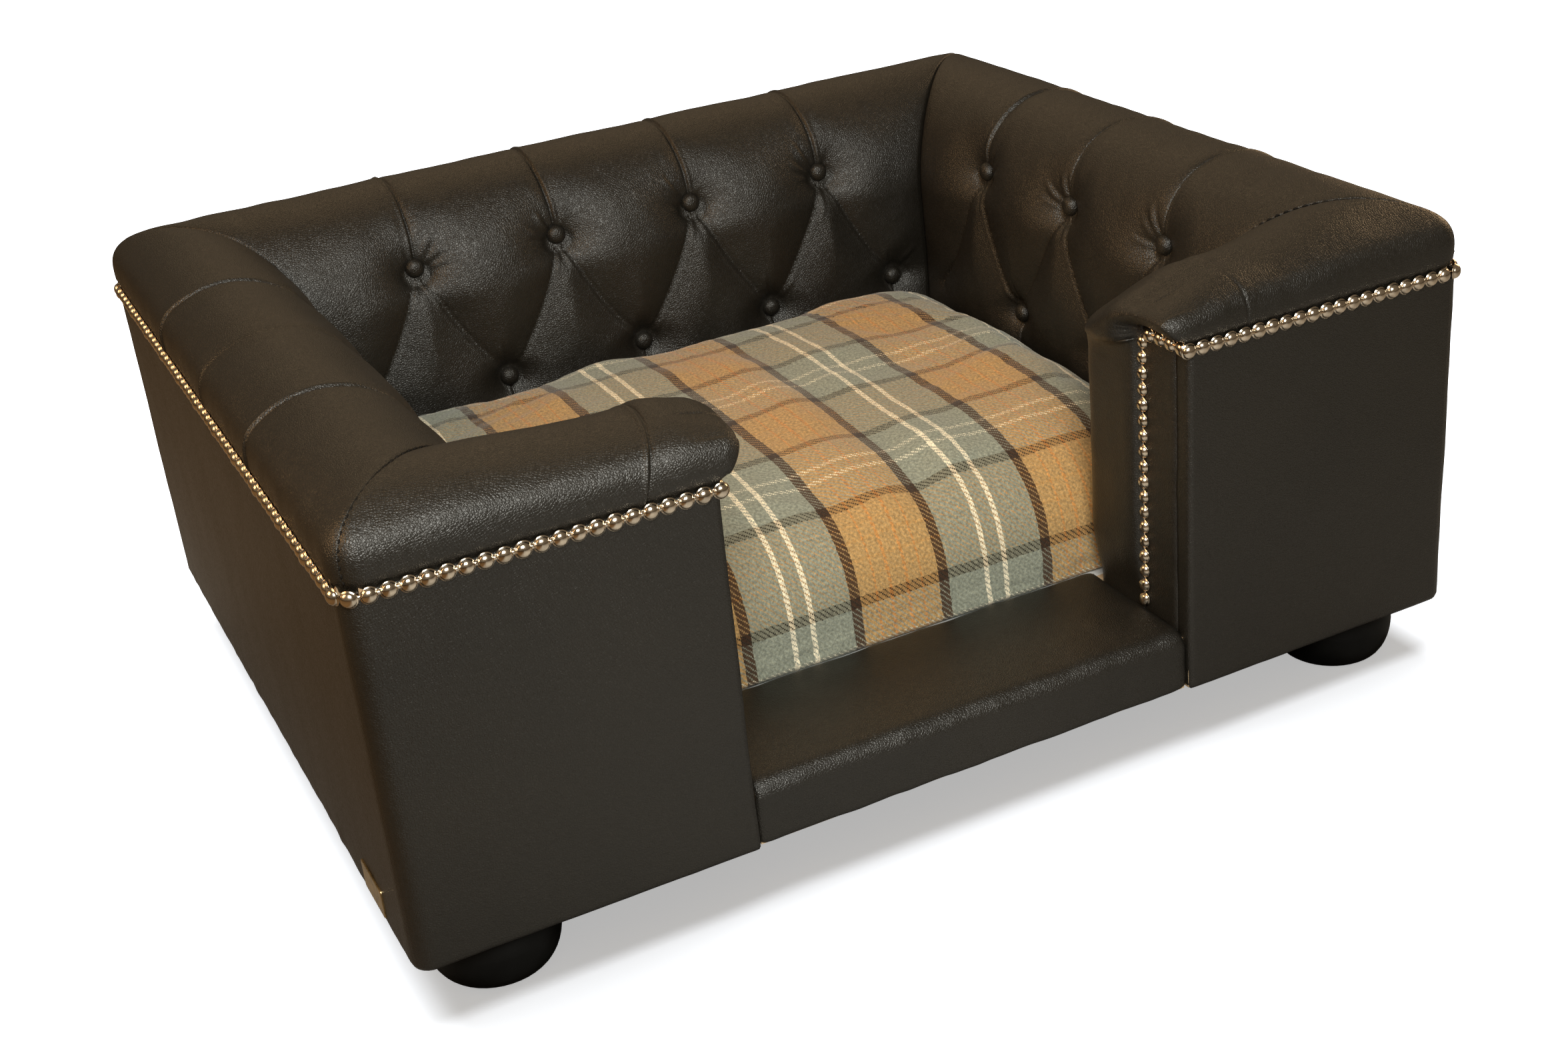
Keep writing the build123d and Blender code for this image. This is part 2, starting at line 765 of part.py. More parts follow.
def make_zip():
    y_tape = half_depth - side_pad_reach - cushion_rear_gap
    y_teeth = y_tape + zip_tape_thickness
    z_middle = lining_top + zip_height_above_deck
    half_zip = zip_length / 2
    half_tape = zip_tape_height / 2
    half_teeth = zip_teeth_height / 2
    with BuildPart() as tape:
        block_between(
            (-half_zip, y_tape, z_middle - half_tape), (half_zip, y_teeth, z_middle + half_tape)
        )
        block_between(
            (-half_zip, y_teeth, z_middle - half_teeth),
            (half_zip, y_teeth + zip_teeth_thickness, z_middle + half_teeth),
        )
    save(tape, "zip_tape")
    y_slider = y_teeth + zip_teeth_thickness + fitting_gap
    x_slider = -half_zip + slider_length
    half_slider = slider_height / 2
    with BuildPart() as slider:
        block_between(
            (x_slider - slider_length / 2, y_slider, z_middle - half_slider),
            (x_slider + slider_length / 2, y_slider + slider_thickness, z_middle + half_slider),
        )
        fillet(slider.edges().filter_by(Axis.Y), pull_thickness)
        block_between(
            (x_slider - pull_width / 2, y_slider, z_middle - half_slider + pull_lap - pull_length),
            (x_slider + pull_width / 2, y_slider + pull_thickness, z_middle - half_slider + pull_lap),
        )
    save(slider, "zip_slider")


make_feet()
make_foot_bolts()
make_tee_nuts()
make_corner_blocks()
make_base()
make_linings()
make_posts()
make_top_rails()
make_inner_boards()
make_outer_boards()
make_outer_covers()
make_nail_strips()
make_wing_nail_strips()
make_facings()

rear_rows = rear_seats()
left_rows = side_seats(-1)
right_rows = side_seats(1)
make_padding("rear", rear_plane, outer_width, rear_rows, rear_button_pitch)
make_padding("left", left_plane, outer_depth, left_rows, side_button_pitch)
make_padding("right", right_plane, outer_depth, right_rows, side_button_pitch)
make_wing_padding()
make_buttons("rear_buttons", seat_planes(rear_plane, rear_rows))
make_buttons("left_buttons", seat_planes(left_plane, left_rows))
make_buttons("right_buttons", seat_planes(right_plane, right_rows))
wing_seats = seat_planes(front_plane, wing_rows())
wing_seats += seat_planes(front_plane, ([-along for along in wing_rows()[0]], []))
make_buttons("wing_buttons", wing_seats)
make_step()
make_cushion()
make_zip()
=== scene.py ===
import math

import bpy
import numpy as np
from mathutils import Matrix, Vector


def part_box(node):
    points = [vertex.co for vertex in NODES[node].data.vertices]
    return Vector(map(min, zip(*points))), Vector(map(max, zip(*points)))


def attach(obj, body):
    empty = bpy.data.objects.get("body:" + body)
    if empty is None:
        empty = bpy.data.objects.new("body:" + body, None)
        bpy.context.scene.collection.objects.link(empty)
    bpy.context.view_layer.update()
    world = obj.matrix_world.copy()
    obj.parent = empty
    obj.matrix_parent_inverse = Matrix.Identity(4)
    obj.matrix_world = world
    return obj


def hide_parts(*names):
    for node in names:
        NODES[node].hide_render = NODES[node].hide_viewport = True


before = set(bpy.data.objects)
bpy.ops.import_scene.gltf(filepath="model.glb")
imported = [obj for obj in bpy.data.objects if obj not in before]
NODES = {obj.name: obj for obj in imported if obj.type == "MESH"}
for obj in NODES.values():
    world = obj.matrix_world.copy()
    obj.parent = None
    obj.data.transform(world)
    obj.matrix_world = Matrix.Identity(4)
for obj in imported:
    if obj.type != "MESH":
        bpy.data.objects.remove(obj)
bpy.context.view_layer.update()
MM = 0.001

# Sizes shared with the CAD, in millimetres
HW, HD = 440.0, 361.0            # half width and half depth over the nail heads
NAIL_Z, ROLL_TOP, SPRING_Z = 330.0, 385.0, 341.0     # nail line, top of the roll, foot of its outer arc
SIDE_REACH, WING_REACH = 143.0, 131.0                # how far inboard the padding comes
HALF_OPEN, SCROLL = 183.0, 24.0  # half of the entry, and how far a wing's roll may stand into it
DECK = 93.8                      # where the padding meets the deck
PAD_R, NAIL_R = 26.0, 16.0       # corner radii of the padding and of the nail line
PAD_BACK = 58.0                  # inboard distance of the padding's hidden back
Z_UP, Z_LOW = 321.0, 204.0       # heights of the two rows of buttons
SEAT_UP, SEAT_LOW = 119.0, 129.0                     # and how far inboard they sit
PANEL_FACE = 2.2                 # inboard distance of the outside leather
PITCH = 12.39                    # of the nail heads


# ---------------------------------------------------------------- helpers

def new_object(name, verts, faces, smooth=True):
    mesh = bpy.data.meshes.new(name)
    mesh.from_pydata([tuple(v) for v in verts], [], [tuple(int(i) for i in f) for f in faces])
    mesh.update()
    if smooth:
        mesh.polygons.foreach_set("use_smooth", [True] * len(mesh.polygons))
    obj = bpy.data.objects.new(name, mesh)
    bpy.context.scene.collection.objects.link(obj)
    return obj


def grid_faces(rows, cols, flip=False):
    i, j = np.meshgrid(np.arange(rows - 1), np.arange(cols - 1), indexing="ij")
    a = i * cols + j
    quads = np.stack([a, a + 1, a + cols + 1, a + cols], -1).reshape(-1, 4)
    return [tuple(q) for q in (quads[:, ::-1] if flip else quads)]


def bake_modifiers(obj):
    dg = bpy.context.evaluated_depsgraph_get()
    mesh = bpy.data.meshes.new_from_object(obj.evaluated_get(dg))
    old = obj.data
    obj.modifiers.clear()
    obj.data = mesh
    bpy.data.meshes.remove(old)
    obj.data.polygons.foreach_set("use_smooth", [True] * len(obj.data.polygons))


def coords(obj):
    co = np.empty(len(obj.data.vertices) * 3)
    obj.data.vertices.foreach_get("co", co)
    return co.reshape(-1, 3)


def flat_caps(obj):
    """Shade the faces with many corners flat: they are a piece's plain ends."""
    for poly in obj.data.polygons:
        if len(poly.vertices) > 4:
            poly.use_smooth = False


def ring_faces(rings, n):
    """Faces between closed rings of n points."""
    return [(k * n + i, k * n + (i + 1) % n, (k + 1) * n + (i + 1) % n, (k + 1) * n + i)
            for k in range(rings - 1) for i in range(n)]


def tipped_faces(rings, n):
    """The same with one point as a tip after the last ring, and a flat back over the first."""
    last, tip = (rings - 1) * n, rings * n
    return ring_faces(rings, n) + [(last + i, last + (i + 1) % n, tip) for i in range(n)] + [tuple(range(n))[::-1]]


def finish_piece(obj, mat, body, nodes=()):
    """Give a piece its material and body, and hide the CAD nodes it stands for."""
    obj.data.materials.append(mat)
    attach(obj, body)
    if nodes:
        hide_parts(*nodes)


def waves(seed, p, scale, octaves=3):
    """Smooth seeded noise from crossed sine waves, about -1 to 1."""
    rng = np.random.default_rng(seed)
    out = np.zeros(p.shape[:-1])
    amp, total = 1.0, 0.0
    for _ in range(octaves):
        for _ in range(4):
            k = rng.normal(size=p.shape[-1])
            k /= np.linalg.norm(k)
            stretch = 1 + 0.3 * rng.random()
            out += amp * np.sin((p @ k) * (2 * math.pi / scale) * stretch + rng.random() * 6.28)
        total += amp * 2.0
        amp *= 0.5
        scale *= 0.5
    return out / total


def smoothstep(a, b, x):
    t = np.clip((x - a) / (b - a), 0, 1)
    return t * t * (3 - 2 * t)


def gauss(x, width):
    return np.exp(-((x / width) ** 2))


def resample(pts, step):
    """Distances along a line at an even step, and the points there."""
    pts = np.asarray(pts, float)
    seg = np.linalg.norm(np.diff(pts, axis=0), axis=1)
    t = np.concatenate([[0], np.cumsum(seg)])
    tt = np.linspace(0, t[-1], int(t[-1] / step) + 1)
    return tt, np.stack([np.interp(tt, t, pts[:, k]) for k in range(pts.shape[1])], 1)


def stations(lo, hi, step, creases):
    """Positions from lo to hi, closer together beside each crease and with one on it."""
    out = [lo]
    while out[-1] < hi:
        near = min((abs(out[-1] - c) for c in creases), default=99.0)
        out.append(out[-1] + (0.9 if near < 4 else 1.6 if near < 8 else step))
    out[-1] = hi
    out = np.array(out)
    for c in creases:
        out[np.argmin(np.abs(out - c))] = c
    return out


def arc_points(cx, cy, r, a0, a1, n):
    a = np.radians(np.linspace(a0, a1, n))
    return [(cx + r * math.cos(t), cy + r * math.sin(t)) for t in a]


# ---------------------------------------------------------------- materials

def put(nt, socket, value):
    """Link an output to an input, or set the input's own value."""
    if isinstance(value, bpy.types.NodeSocket):
        nt.links.new(value, socket)
    elif socket.type == "RGBA":
        socket.default_value = (*value, 1.0)
    else:
        socket.default_value = value


def node(nt, kind, inputs=None, **props):
    n = nt.nodes.new("ShaderNode" + kind)
    for key, value in props.items():
        setattr(n, key, value)
    for key, value in (inputs or {}).items():
        put(nt, n.inputs[key], value)
    return n


def math_node(nt, op, *values, clamp=False):
    return node(nt, "Math", dict(enumerate(values)), operation=op, use_clamp=clamp).outputs[0]


def linear(nt, x, k, c=0.0):
    """x times k plus c."""
    return math_node(nt, "MULTIPLY_ADD", x, k, c)


def vector_node(nt, op, a, b):
    return node(nt, "VectorMath", {0: a, 1: b}, operation=op).outputs[0]


def mix_colour(nt, fac, a, b, blend="MIX"):
    return node(nt, "Mix", {0: fac, 6: a, 7: b}, data_type="RGBA", blend_type=blend).outputs[2]


def ramp(nt, fac, stops, interp="LINEAR"):
    n = node(nt, "ValToRGB", {0: fac})
    n.color_ramp.interpolation = interp
    els = n.color_ramp.elements
    while len(els) > 1:
        els.remove(els[-1])
    els[0].position, els[0].color = stops[0][0], (*stops[0][1], 1.0)
    for pos, colour in stops[1:]:
        els.new(pos).color = (*colour, 1.0)
    return n.outputs[0]


def noise(nt, pos, scale, detail=3.0, rough=0.5, flat=False, out=0):
    inputs = {"Vector": pos, "Scale": scale, "Detail": detail, "Roughness": rough}
    return node(nt, "TexNoise", inputs, noise_dimensions="2D" if flat else "3D").outputs[out]


def times(colour, k):
    return tuple(c * k for c in colour)


def empty_tree(owner):
    owner.use_nodes = True
    owner.node_tree.nodes.clear()
    return owner.node_tree


def material(name, uv_map=None):
    """A new material: its tree, its one shader, and the object's or the cloth's own coordinates."""
    mat = bpy.data.materials.new(name)
    nt = empty_tree(mat)
    bsdf = node(nt, "BsdfPrincipled")
    node(nt, "OutputMaterial", {0: bsdf.outputs[0]})
    if uv_map:
        pos = node(nt, "UVMap", uv_map=uv_map).outputs[0]
    else:
        pos = node(nt, "TexCoord").outputs["Object"]
    return mat, nt, bsdf, pos


def surface(nt, bsdf, colour, rough, height, strength, distance, **more):
    """Fill in the shader; more sockets are named with underscores for spaces."""
    put(nt, bsdf.inputs["Base Color"], colour)
    put(nt, bsdf.inputs["Roughness"], rough)
    for key, value in more.items():
        put(nt, bsdf.inputs[key.replace("_", " ")], value)
    relief = node(nt, "Bump", {"Height": height, "Strength": strength, "Distance": distance})
    put(nt, bsdf.inputs["Normal"], relief.outputs[0])


def leather_material(name, dark, warm, rough, grain):
    """Pebbled hide with a little cloudiness."""
    mat, nt, bsdf, pos = material(name)
    fine = noise(nt, pos, 240.0)
    cells = node(nt, "TexVoronoi", {"Vector": pos, "Scale": 560.0}, feature="DISTANCE_TO_EDGE").outputs["Distance"]
    small = node(nt, "TexVoronoi", {"Vector": pos, "Scale": 1400.0}).outputs["Distance"]
    pebble = math_node(nt, "MINIMUM", linear(nt, cells, 4.0), 1.0)
    tone = linear(nt, noise(nt, pos, 9.0, 4.0), 0.7, linear(nt, fine, 0.3))
    colour = ramp(nt, tone, [(0.3, dark), (0.72, warm)])
    colour = mix_colour(nt, linear(nt, pebble, -0.35, 0.35), colour, times(dark, 0.5))
    height = linear(nt, pebble, 0.7, linear(nt, small, 0.3, linear(nt, fine, 1.2)))
    surface(nt, bsdf, colour, linear(nt, fine, 0.16, rough - 0.08), height, grain, 0.0004, Specular_IOR_Level=0.6)
    return mat


def metal_material(name, colour, rough):
    mat, nt, bsdf, pos = material(name)
    n = noise(nt, pos, 160.0)
    colour = ramp(nt, n, [(0.35, times(colour, 0.72)), (0.6, colour)])
    surface(nt, bsdf, colour, linear(nt, n, 0.14, rough), n, 0.12, 0.0004, Metallic=1.0)
    return mat


def paint_material(name, colour, rough):
    mat, nt, bsdf, pos = material(name)
    n = noise(nt, pos, 60.0, 5.0)
    colour = ramp(nt, n, [(0.35, colour), (0.75, times(colour, 1.7))])
    surface(nt, bsdf, colour, linear(nt, n, 0.2, rough - 0.1), n, 0.1, 0.0005, Specular_IOR_Level=0.16)
    return mat


def wood_material(name, light, dark, across):
    """Grain bands, stretched along the bed's height."""
    mat, nt, bsdf, pos = material(name)
    grain = node(nt, "Mapping", {"Vector": pos, "Scale": (1.0, 1.0, 6.0)}).outputs[0]
    wave = {"Vector": grain, "Scale": across, "Distortion": 6.0, "Detail": 3.0, "Detail Scale": 1.5}
    fine = linear(nt, noise(nt, pos, 300.0, 4.0), 0.3)
    v = linear(nt, node(nt, "TexWave", wave).outputs["Fac"], 0.7, fine)
    surface(nt, bsdf, ramp(nt, v, [(0.2, light), (0.85, dark)]), 0.7, v, 0.2, 0.0006)
    return mat


def cloth_material(name, colour):
    """Plain weave from two crossed sets of bands."""
    mat, nt, bsdf, pos = material(name)
    bands = {"Vector": pos, "Scale": 900.0, "Distortion": 1.0}
    sx, sy = [node(nt, "TexWave", bands, bands_direction=d).outputs["Fac"] for d in "XY"]
    v = linear(nt, sx, sy, linear(nt, noise(nt, pos, 400.0, 4.0), 0.6))
    surface(nt, bsdf, ramp(nt, v, [(0.2, times(colour, 0.7)), (0.9, colour)]), 0.9, v, 0.3, 0.0003)
    return mat


def tartan_material():
    """A generic woven check in blue-grey, tan, dark brown and cream, on flat cloth coordinates in metres."""
    mat, nt, bsdf, uv = material("tartan", "cloth")
    waver = vector_node(nt, "SUBTRACT", noise(nt, uv, 260.0, 2.0, flat=True, out="Color"), (0.5,) * 3)
    p = vector_node(nt, "ADD", uv, vector_node(nt, "MULTIPLY", waver, (0.0014,) * 3))
    along = node(nt, "SeparateXYZ", {"Vector": p}).outputs
    edge, band, pair = 0.0345, 0.0088, 0.0088

    def threads(coord, half, cream, middle, tan, orange, dark, blue, pale):
        """One set of threads: colour over half of the sett, mirrored about its middle."""
        v = math_node(nt, "WRAP", math_node(nt, "SUBTRACT", coord, middle), half, -half)
        v = math_node(nt, "DIVIDE", math_node(nt, "ABSOLUTE", v), half)

        def bands(stops):
            return ramp(nt, v, [(a / half, c) for a, c in stops], "CONSTANT")

        white = (1.0, 1.0, 1.0)
        shade = bands([(0.0, white), (edge, (0.82, 0.76, 0.7)), (edge + band, white)])
        return bands([(0.0, tan), (0.006, orange), (0.0085, tan), (0.019, orange), (0.0205, tan), (edge, dark),
                      (edge + band, blue), (half - pair - cream, pale), (half - pair + cream, blue)]), shade

    warp, shade1 = threads(along[0], 0.086, 0.0021, 0.011, (0.46, 0.28, 0.11), (0.54, 0.25, 0.075),
                           (0.075, 0.042, 0.024), (0.26, 0.275, 0.22), (0.82, 0.74, 0.56))
    weft, shade2 = threads(along[1], 0.0835, 0.0026, -0.059, (0.4, 0.265, 0.12), (0.5, 0.27, 0.09),
                           (0.03, 0.027, 0.018), (0.28, 0.305, 0.255), (0.8, 0.76, 0.6))
    # twill: two threads over, two under, one further on in each row
    pitch = 0.00122
    i, j = [math_node(nt, "FLOOR", math_node(nt, "DIVIDE", along[k], pitch)) for k in (0, 1)]
    over = math_node(nt, "FLOORED_MODULO", math_node(nt, "ADD", i, j), 4.0)
    over = math_node(nt, "LESS_THAN", over, 2.1)
    fuzz = math_node(nt, "MULTIPLY_ADD", noise(nt, uv, 700.0, flat=True), 1.6, -0.3, clamp=True)
    fac = math_node(nt, "MULTIPLY_ADD", over, 0.9, linear(nt, fuzz, 0.1), clamp=True)
    slub = noise(nt, uv, 420.0, 5.0, 0.7, flat=True)
    lift = ramp(nt, slub, [(0.3, (0.6, 0.6, 0.6)), (0.5, (1.0, 1.0, 1.0)), (0.72, (1.5, 1.47, 1.42))])
    colour = mix_colour(nt, fac, weft, warp)
    for factor in (shade1, shade2, lift):
        colour = mix_colour(nt, 1.0, colour, factor, "MULTIPLY")
    surface(nt, bsdf, colour, 0.95, linear(nt, over, 0.4, slub), 0.6, 0.0007,
            Specular_IOR_Level=0.2, Sheen_Weight=0.2, Sheen_Roughness=0.5)
    return mat


LEATHER = leather_material("leather", (0.0085, 0.0072, 0.0052), (0.0145, 0.0118, 0.0082), 0.42, 0.6)
THREAD = paint_material("thread", (0.006, 0.005, 0.004), 0.7)
NICKEL = metal_material("nickel", (0.82, 0.7, 0.56), 0.1)
BRASS = metal_material("brass", (0.72, 0.55, 0.3), 0.22)
FEET = paint_material("black_feet", (0.0022, 0.0022, 0.0022), 0.5)
PINE = wood_material("pine", (0.66, 0.47, 0.28), (0.45, 0.29, 0.15), 18.0)
PLY = wood_material("plywood", (0.6, 0.45, 0.29), (0.43, 0.3, 0.18), 30.0)
CALICO = cloth_material("calico", (0.74, 0.76, 0.78))
DUST = cloth_material("dust_cloth", (0.02, 0.02, 0.02))
ZIPCLOTH = cloth_material("zip_cloth", (0.22, 0.18, 0.14))
STEEL = metal_material("zinc_steel", (0.62, 0.62, 0.63), 0.3)


# ---------------------------------------------------------------- padded walls

def dense_profile(reach):
    """A wall's padded outline: inboard distance and height, from the nails over the roll to the deck."""
    pts = [(5.0, 331.0), (4.9, 333.0), (3.9, 335.5), (2.2, 338.3)]
    # a tight arc up to 53 degrees, a wider one over the top, and a third down to the deck
    bend, wider = math.radians(53), 2.11
    r1 = (ROLL_TOP - SPRING_Z) / (math.sin(bend) + wider * (1 - math.sin(bend)))
    r2 = wider * r1
    arc = np.array(arc_points(r1 - 4.0, SPRING_Z, r1, 180, 127, 24))
    arc[:, 0] += 5.0 * smoothstep(0.0, 1.0, (372.0 - arc[:, 1]) / 31.0)
    pts += [tuple(p) for p in arc]
    pts += arc_points(r1 - 4.0 + (r2 - r1) * math.cos(bend), ROLL_TOP - r2, r2, 127, 50, 40)[1:]
    u0, z0 = pts[-1]
    r3 = (reach - u0) / (1 - math.cos(math.radians(50)))
    pts += arc_points(reach - r3, z0 - r3 * math.sin(math.radians(50)), r3, 50, 0, 30)[1:]
    pts += [(reach, z) for z in np.linspace(pts[-1][1], DECK, 40)[1:]]
    return np.array(pts)


def profile_rows(reach, creases=()):
    """Distance along the outline, inboard distance and height of each row."""
    t, pts = resample(dense_profile(reach), 0.5)
    rows = stations(0.0, t[-1], 2.3, creases)
    return rows, np.interp(rows, t, pts[:, 0]), np.interp(rows, t, pts[:, 1])


def plan(half, u, d):
    """Along and inboard position of a point at a distance from the wall's middle, round the corner's arc."""
    r = np.maximum(PAD_R - (u + 4.0), 1e-6)
    straight = half - u - r
    over = np.maximum(np.abs(d) - straight, 0) / r
    a = np.minimum(np.abs(d), straight) + r * np.sin(over)
    b = u + r * (1 - np.cos(over))
    return np.sign(d) * a, b


def half_run(half, u):
    """Distance from the wall's middle to the corner's mitre at an inboard position."""
    r = np.maximum(PAD_R - (u + 4.0), 1e-6)
    return half - u - r + r * math.pi / 4


# each wall's own along, inboard and height as a point of the bed
PLACE = {
    "rear": lambda a, b, z: (-a, HD - b, z),
    "left": lambda a, b, z: (-HW + b, -a, z),
    "right": lambda a, b, z: (HW - b, a, z),
    "right_wing": lambda a, b, z: (a, -HD + b, z),
    "left_wing": lambda a, b, z: (-a, -HD + b, z),
}


def segment_field(S, T, p, q, bow=0.0, sharp=1.0):
    """Distance to a line or bowed line from p to q, the share along it, and the signed side."""
    d = np.array(q, float) - np.array(p, float)
    length = np.linalg.norm(d)
    d /= length
    x, y = S - p[0], T - p[1]
    raw = x * d[0] + y * d[1]
    along = np.clip(raw, 0, length)
    side = x * d[1] - y * d[0] + bow * np.sin(np.clip(along / length, 0, 1) * math.pi) ** sharp
    return np.hypot(side, raw - along), along / length, side


class Hide:
    """The leather's height over a wall's plain outline, gathered from pleats, dimples and folds."""

    def __init__(self, S, T):
        self.S, self.T = S, T
        self.fields = []
        self.fold = np.zeros_like(S)

    def pleat(self, p, q, deep, wide, power, fall, bow, fold, way, sharp=1.0):
        """A pleat from p, its deep end, to q. The leather laps over itself towards one side."""
        dist, share, side = segment_field(self.S, self.T, p, q, bow, sharp)
        left = (1 - share) ** fall
        depth = deep[1] + (deep[0] - deep[1]) * left
        width = wide[1] + (wide[0] - wide[1]) * left
        self.fields.append(depth * np.clip(1 - dist / width, 0, 1) ** power)
        over = side * way
        ends = smoothstep(0.0, 0.06, share) * (1 - smoothstep(0.99, 1.0, share))
        near = smoothstep(4.0, 0.0, np.abs(dist - np.abs(side)))
        lip = np.where(over >= -0.2, gauss(over - 2.2, 2.0) + 0.45 * np.exp(-np.abs(over) / 11.0), 0)
        self.fold += (fold * lip - min(1.5, 3.0 * fold) * gauss(over, 1.1)) * ends * near

    def seat(self, s, t, depth, spread=58.0, power=2.3):
        """A button's dimple."""
        r = np.hypot(self.S - s, self.T - t)
        self.fields.append(depth * np.clip(1 - np.maximum(r - 9.0, 0) / spread, 0, 1) ** power)

    def ray(self, s, t, angle, length, tall, width=2.6):
        """A short fold running out from a button."""
        a = math.radians(angle)
        p = (s + 8.0 * math.sin(a), t - 8.0 * math.cos(a))
        q = (s + length * math.sin(a), t - length * math.cos(a))
        dist, share, side = segment_field(self.S, self.T, p, q, 1.5)
        body = np.sin(np.clip(share, 0, 1) * math.pi) ** 0.7 * smoothstep(5.0, 0.0, dist - np.abs(side))
        self.fold += tall * body * (gauss(side, width) - 0.8 * gauss(side - width * 1.5, width * 0.7))

    def drop(self, seats):
        """All pleats and dimples blended, and flat under each button."""
        total = (np.stack(self.fields) ** 4).sum(0) ** 0.25
        for s, t, depth in seats:
            r = np.hypot(self.S - s, self.T - t)
            flat = 1 - smoothstep(9.0, 16.0, r)
            total = total * (1 - flat) + depth * flat
            self.fold *= smoothstep(8.0, 13.0, r)
        return total


LOW_STEP = 67.0                  # along the wall from a roll button to the lower ones beside it
# angle from straight down the wall, length and height of the short folds round a roll button
ROLL_RAYS = ((28, 40, 1.8), (52, 34, 1.4), (-24, 28, 0.7), (78, 30, 0.9), (166, 40, 0.7), (198, 34, 0.4))


def diagonal_foot(s, side, lows, t_low, feet):
    """The lower end of a roll button's diagonal: a lower button, or bare leather where there is none."""
    near = [x for x in lows if abs(x - (s + side * LOW_STEP)) < 12]
    return (near[0], t_low) if near else (s + side * feet, t_low + 6.0)


def buttoning(hide, t_up, t_low, t_end, up_depth, low_depth, tops, lows, feet, seed):
    """Roll pleats, diagonals, lower pleats and dimples of one wall."""
    rng = np.random.default_rng(seed)
    for s in tops:
        way = 1 if rng.random() > 0.35 else -1
        hide.pleat((s, t_up), (s, -4.0), (12.0, 0.3), (46.0, 7.0), 2.2, 3.6, 2.5 * way, 1.15, way)
        for side in (-1, 1):
            foot = diagonal_foot(s, side, lows, t_low, feet)
            bow = (3.5 + 3.5 * rng.random()) * side
            hide.pleat((s, t_up), foot, (11.5, 7.0), (46.0, 42.0), 1.8, 1.0, bow, 0.65, -side)
        for angle, length, tall in ROLL_RAYS:
            turned = angle * way + rng.normal() * 5
            long = length * (0.85 + 0.3 * rng.random())
            hide.ray(s, t_up, turned, long, tall * (0.8 + 0.4 * rng.random()))
        hide.seat(s, t_up, up_depth)
    for s in lows:
        foot = (s + rng.normal() * 1.5, t_end + 2)
        way = 1 if rng.random() > 0.5 else -1
        hide.pleat((s, t_low), foot, (10.0, 5.0), (42.0, 38.0), 2.0, 1.0, 2.0, 0.6, way)
        for angle in (35, -38, 12):
            turned = angle + rng.normal() * 6
            hide.ray(s, t_low, turned, 30 + 8 * rng.random(), 0.9)
        hide.seat(s, t_low, low_depth, 46.0)
    return hide.drop([(s, t_up, up_depth) for s in tops] + [(s, t_low, low_depth) for s in lows])


def diagonal_lines(t_up, t_low, tops, lows, feet, seed):
    """The diagonals that buttoning() will make: the same draws in the same order, the unused ones too."""
    rng = np.random.default_rng(seed)
    lines = []
    for s in tops:
        rng.random()
        for side in (-1, 1):
            foot = diagonal_foot(s, side, lows, t_low, feet)
            lines.append(((s, t_up), foot, (3.5 + 3.5 * rng.random()) * side))
        for _ in ROLL_RAYS:
            rng.normal()
            rng.random()
            rng.random()
    return lines


def snap(S, T, lines, reach):
    """Move grid points that are close to a slanting crease onto it, so that its line is clean."""
    for p, q, bow in lines:
        dist, share, side = segment_field(S, T, p, q, bow)
        d = np.array(q, float) - np.array(p, float)
        d /= np.linalg.norm(d)
        close = (dist < reach) & (share > 0.02) & (share < 0.98)
        S = np.where(close, S - side * d[1], S)
        T = np.where(close, T + side * d[0], T)
    return S, T


def relief(S, T, edge, drop, fold, t, z, seed, sewn):
    """Height over the outline: tufting, corner seam, soft unevenness and a fuller crest, fading out at the nails."""
    face = smoothstep(0.45, 0.75, T / t[-1])
    gutter = (1.3 * (1 - 0.7 * sewn) + 5.5 * face) * np.exp(-edge / (5.0 + 13.0 * face))
    seam = gutter + (1.6 - 1.1 * sewn * (1 - face)) * gauss(edge, 1.4)
    crest = t[np.argmax(z)]
    h = -drop + fold * smoothstep(0, 14, edge) - seam
    h += 0.7 * waves(seed, np.stack([S, T], -1), 120.0) * smoothstep(0, 30, T)
    h += 0.8 * gauss(T - crest, 70.0)
    return h * smoothstep(0, 7, T)


def close_pad(front, faces, rows, cols, back, split):
    """Close the sheet's back: rows from the deck up behind and over to the nails, and flat ends.

    With split the front runs on past the back's first end, and two more faces close that stretch.
    """
    base, n, m = len(front), len(back), len(back[0])
    start = cols - m
    last = (rows - 1) * cols + start
    lines = [last] + [base + k * m for k in range(n)] + [start]
    for a, b in zip(lines[:-1], lines[1:]):
        faces += [(a + j, b + j, b + j + 1, a + j + 1) for j in range(m - 1)]
    faces.append(tuple([r * cols + cols - 1 for r in range(rows)] + [base + k * m + m - 1 for k in range(n)]))
    faces.append(tuple([r * cols for r in range(rows)] + [base + k * m for k in range(n)])[::-1])
    if split:
        faces.append((base, *range(last, last - start - 1, -1)))
        faces.append((base + (n - 1) * m, *range(start + 1)))
    return np.vstack([front] + back)


def pad_piece(wall, P, back, split=False, mirror=False):
    """One closed piece from a wall's front sheet and its back rows."""
    rows, cols = P.shape[:2]
    faces = grid_faces(rows, cols, flip=not mirror)
    verts = close_pad(P.reshape(-1, 3), faces, rows, cols, back, split)
    obj = new_object(f"{wall}_padding", verts * MM, faces)
    flat_caps(obj)
    finish_piece(obj, LEATHER, "bed_frame", (f"{wall}_inner_cover", f"{wall}_foam"))


def rows_at(t, z, height):
    """Distance along the outline where its inner face passes a height."""
    inner = t > t[np.argmax(z)]
    return float(np.interp(-height, -z[inner], t[inner]))


def base_depth(t, u, at, seat):
    """How deep a button's seat lies below the outline."""
    return float(np.interp(at, t, u)) - seat


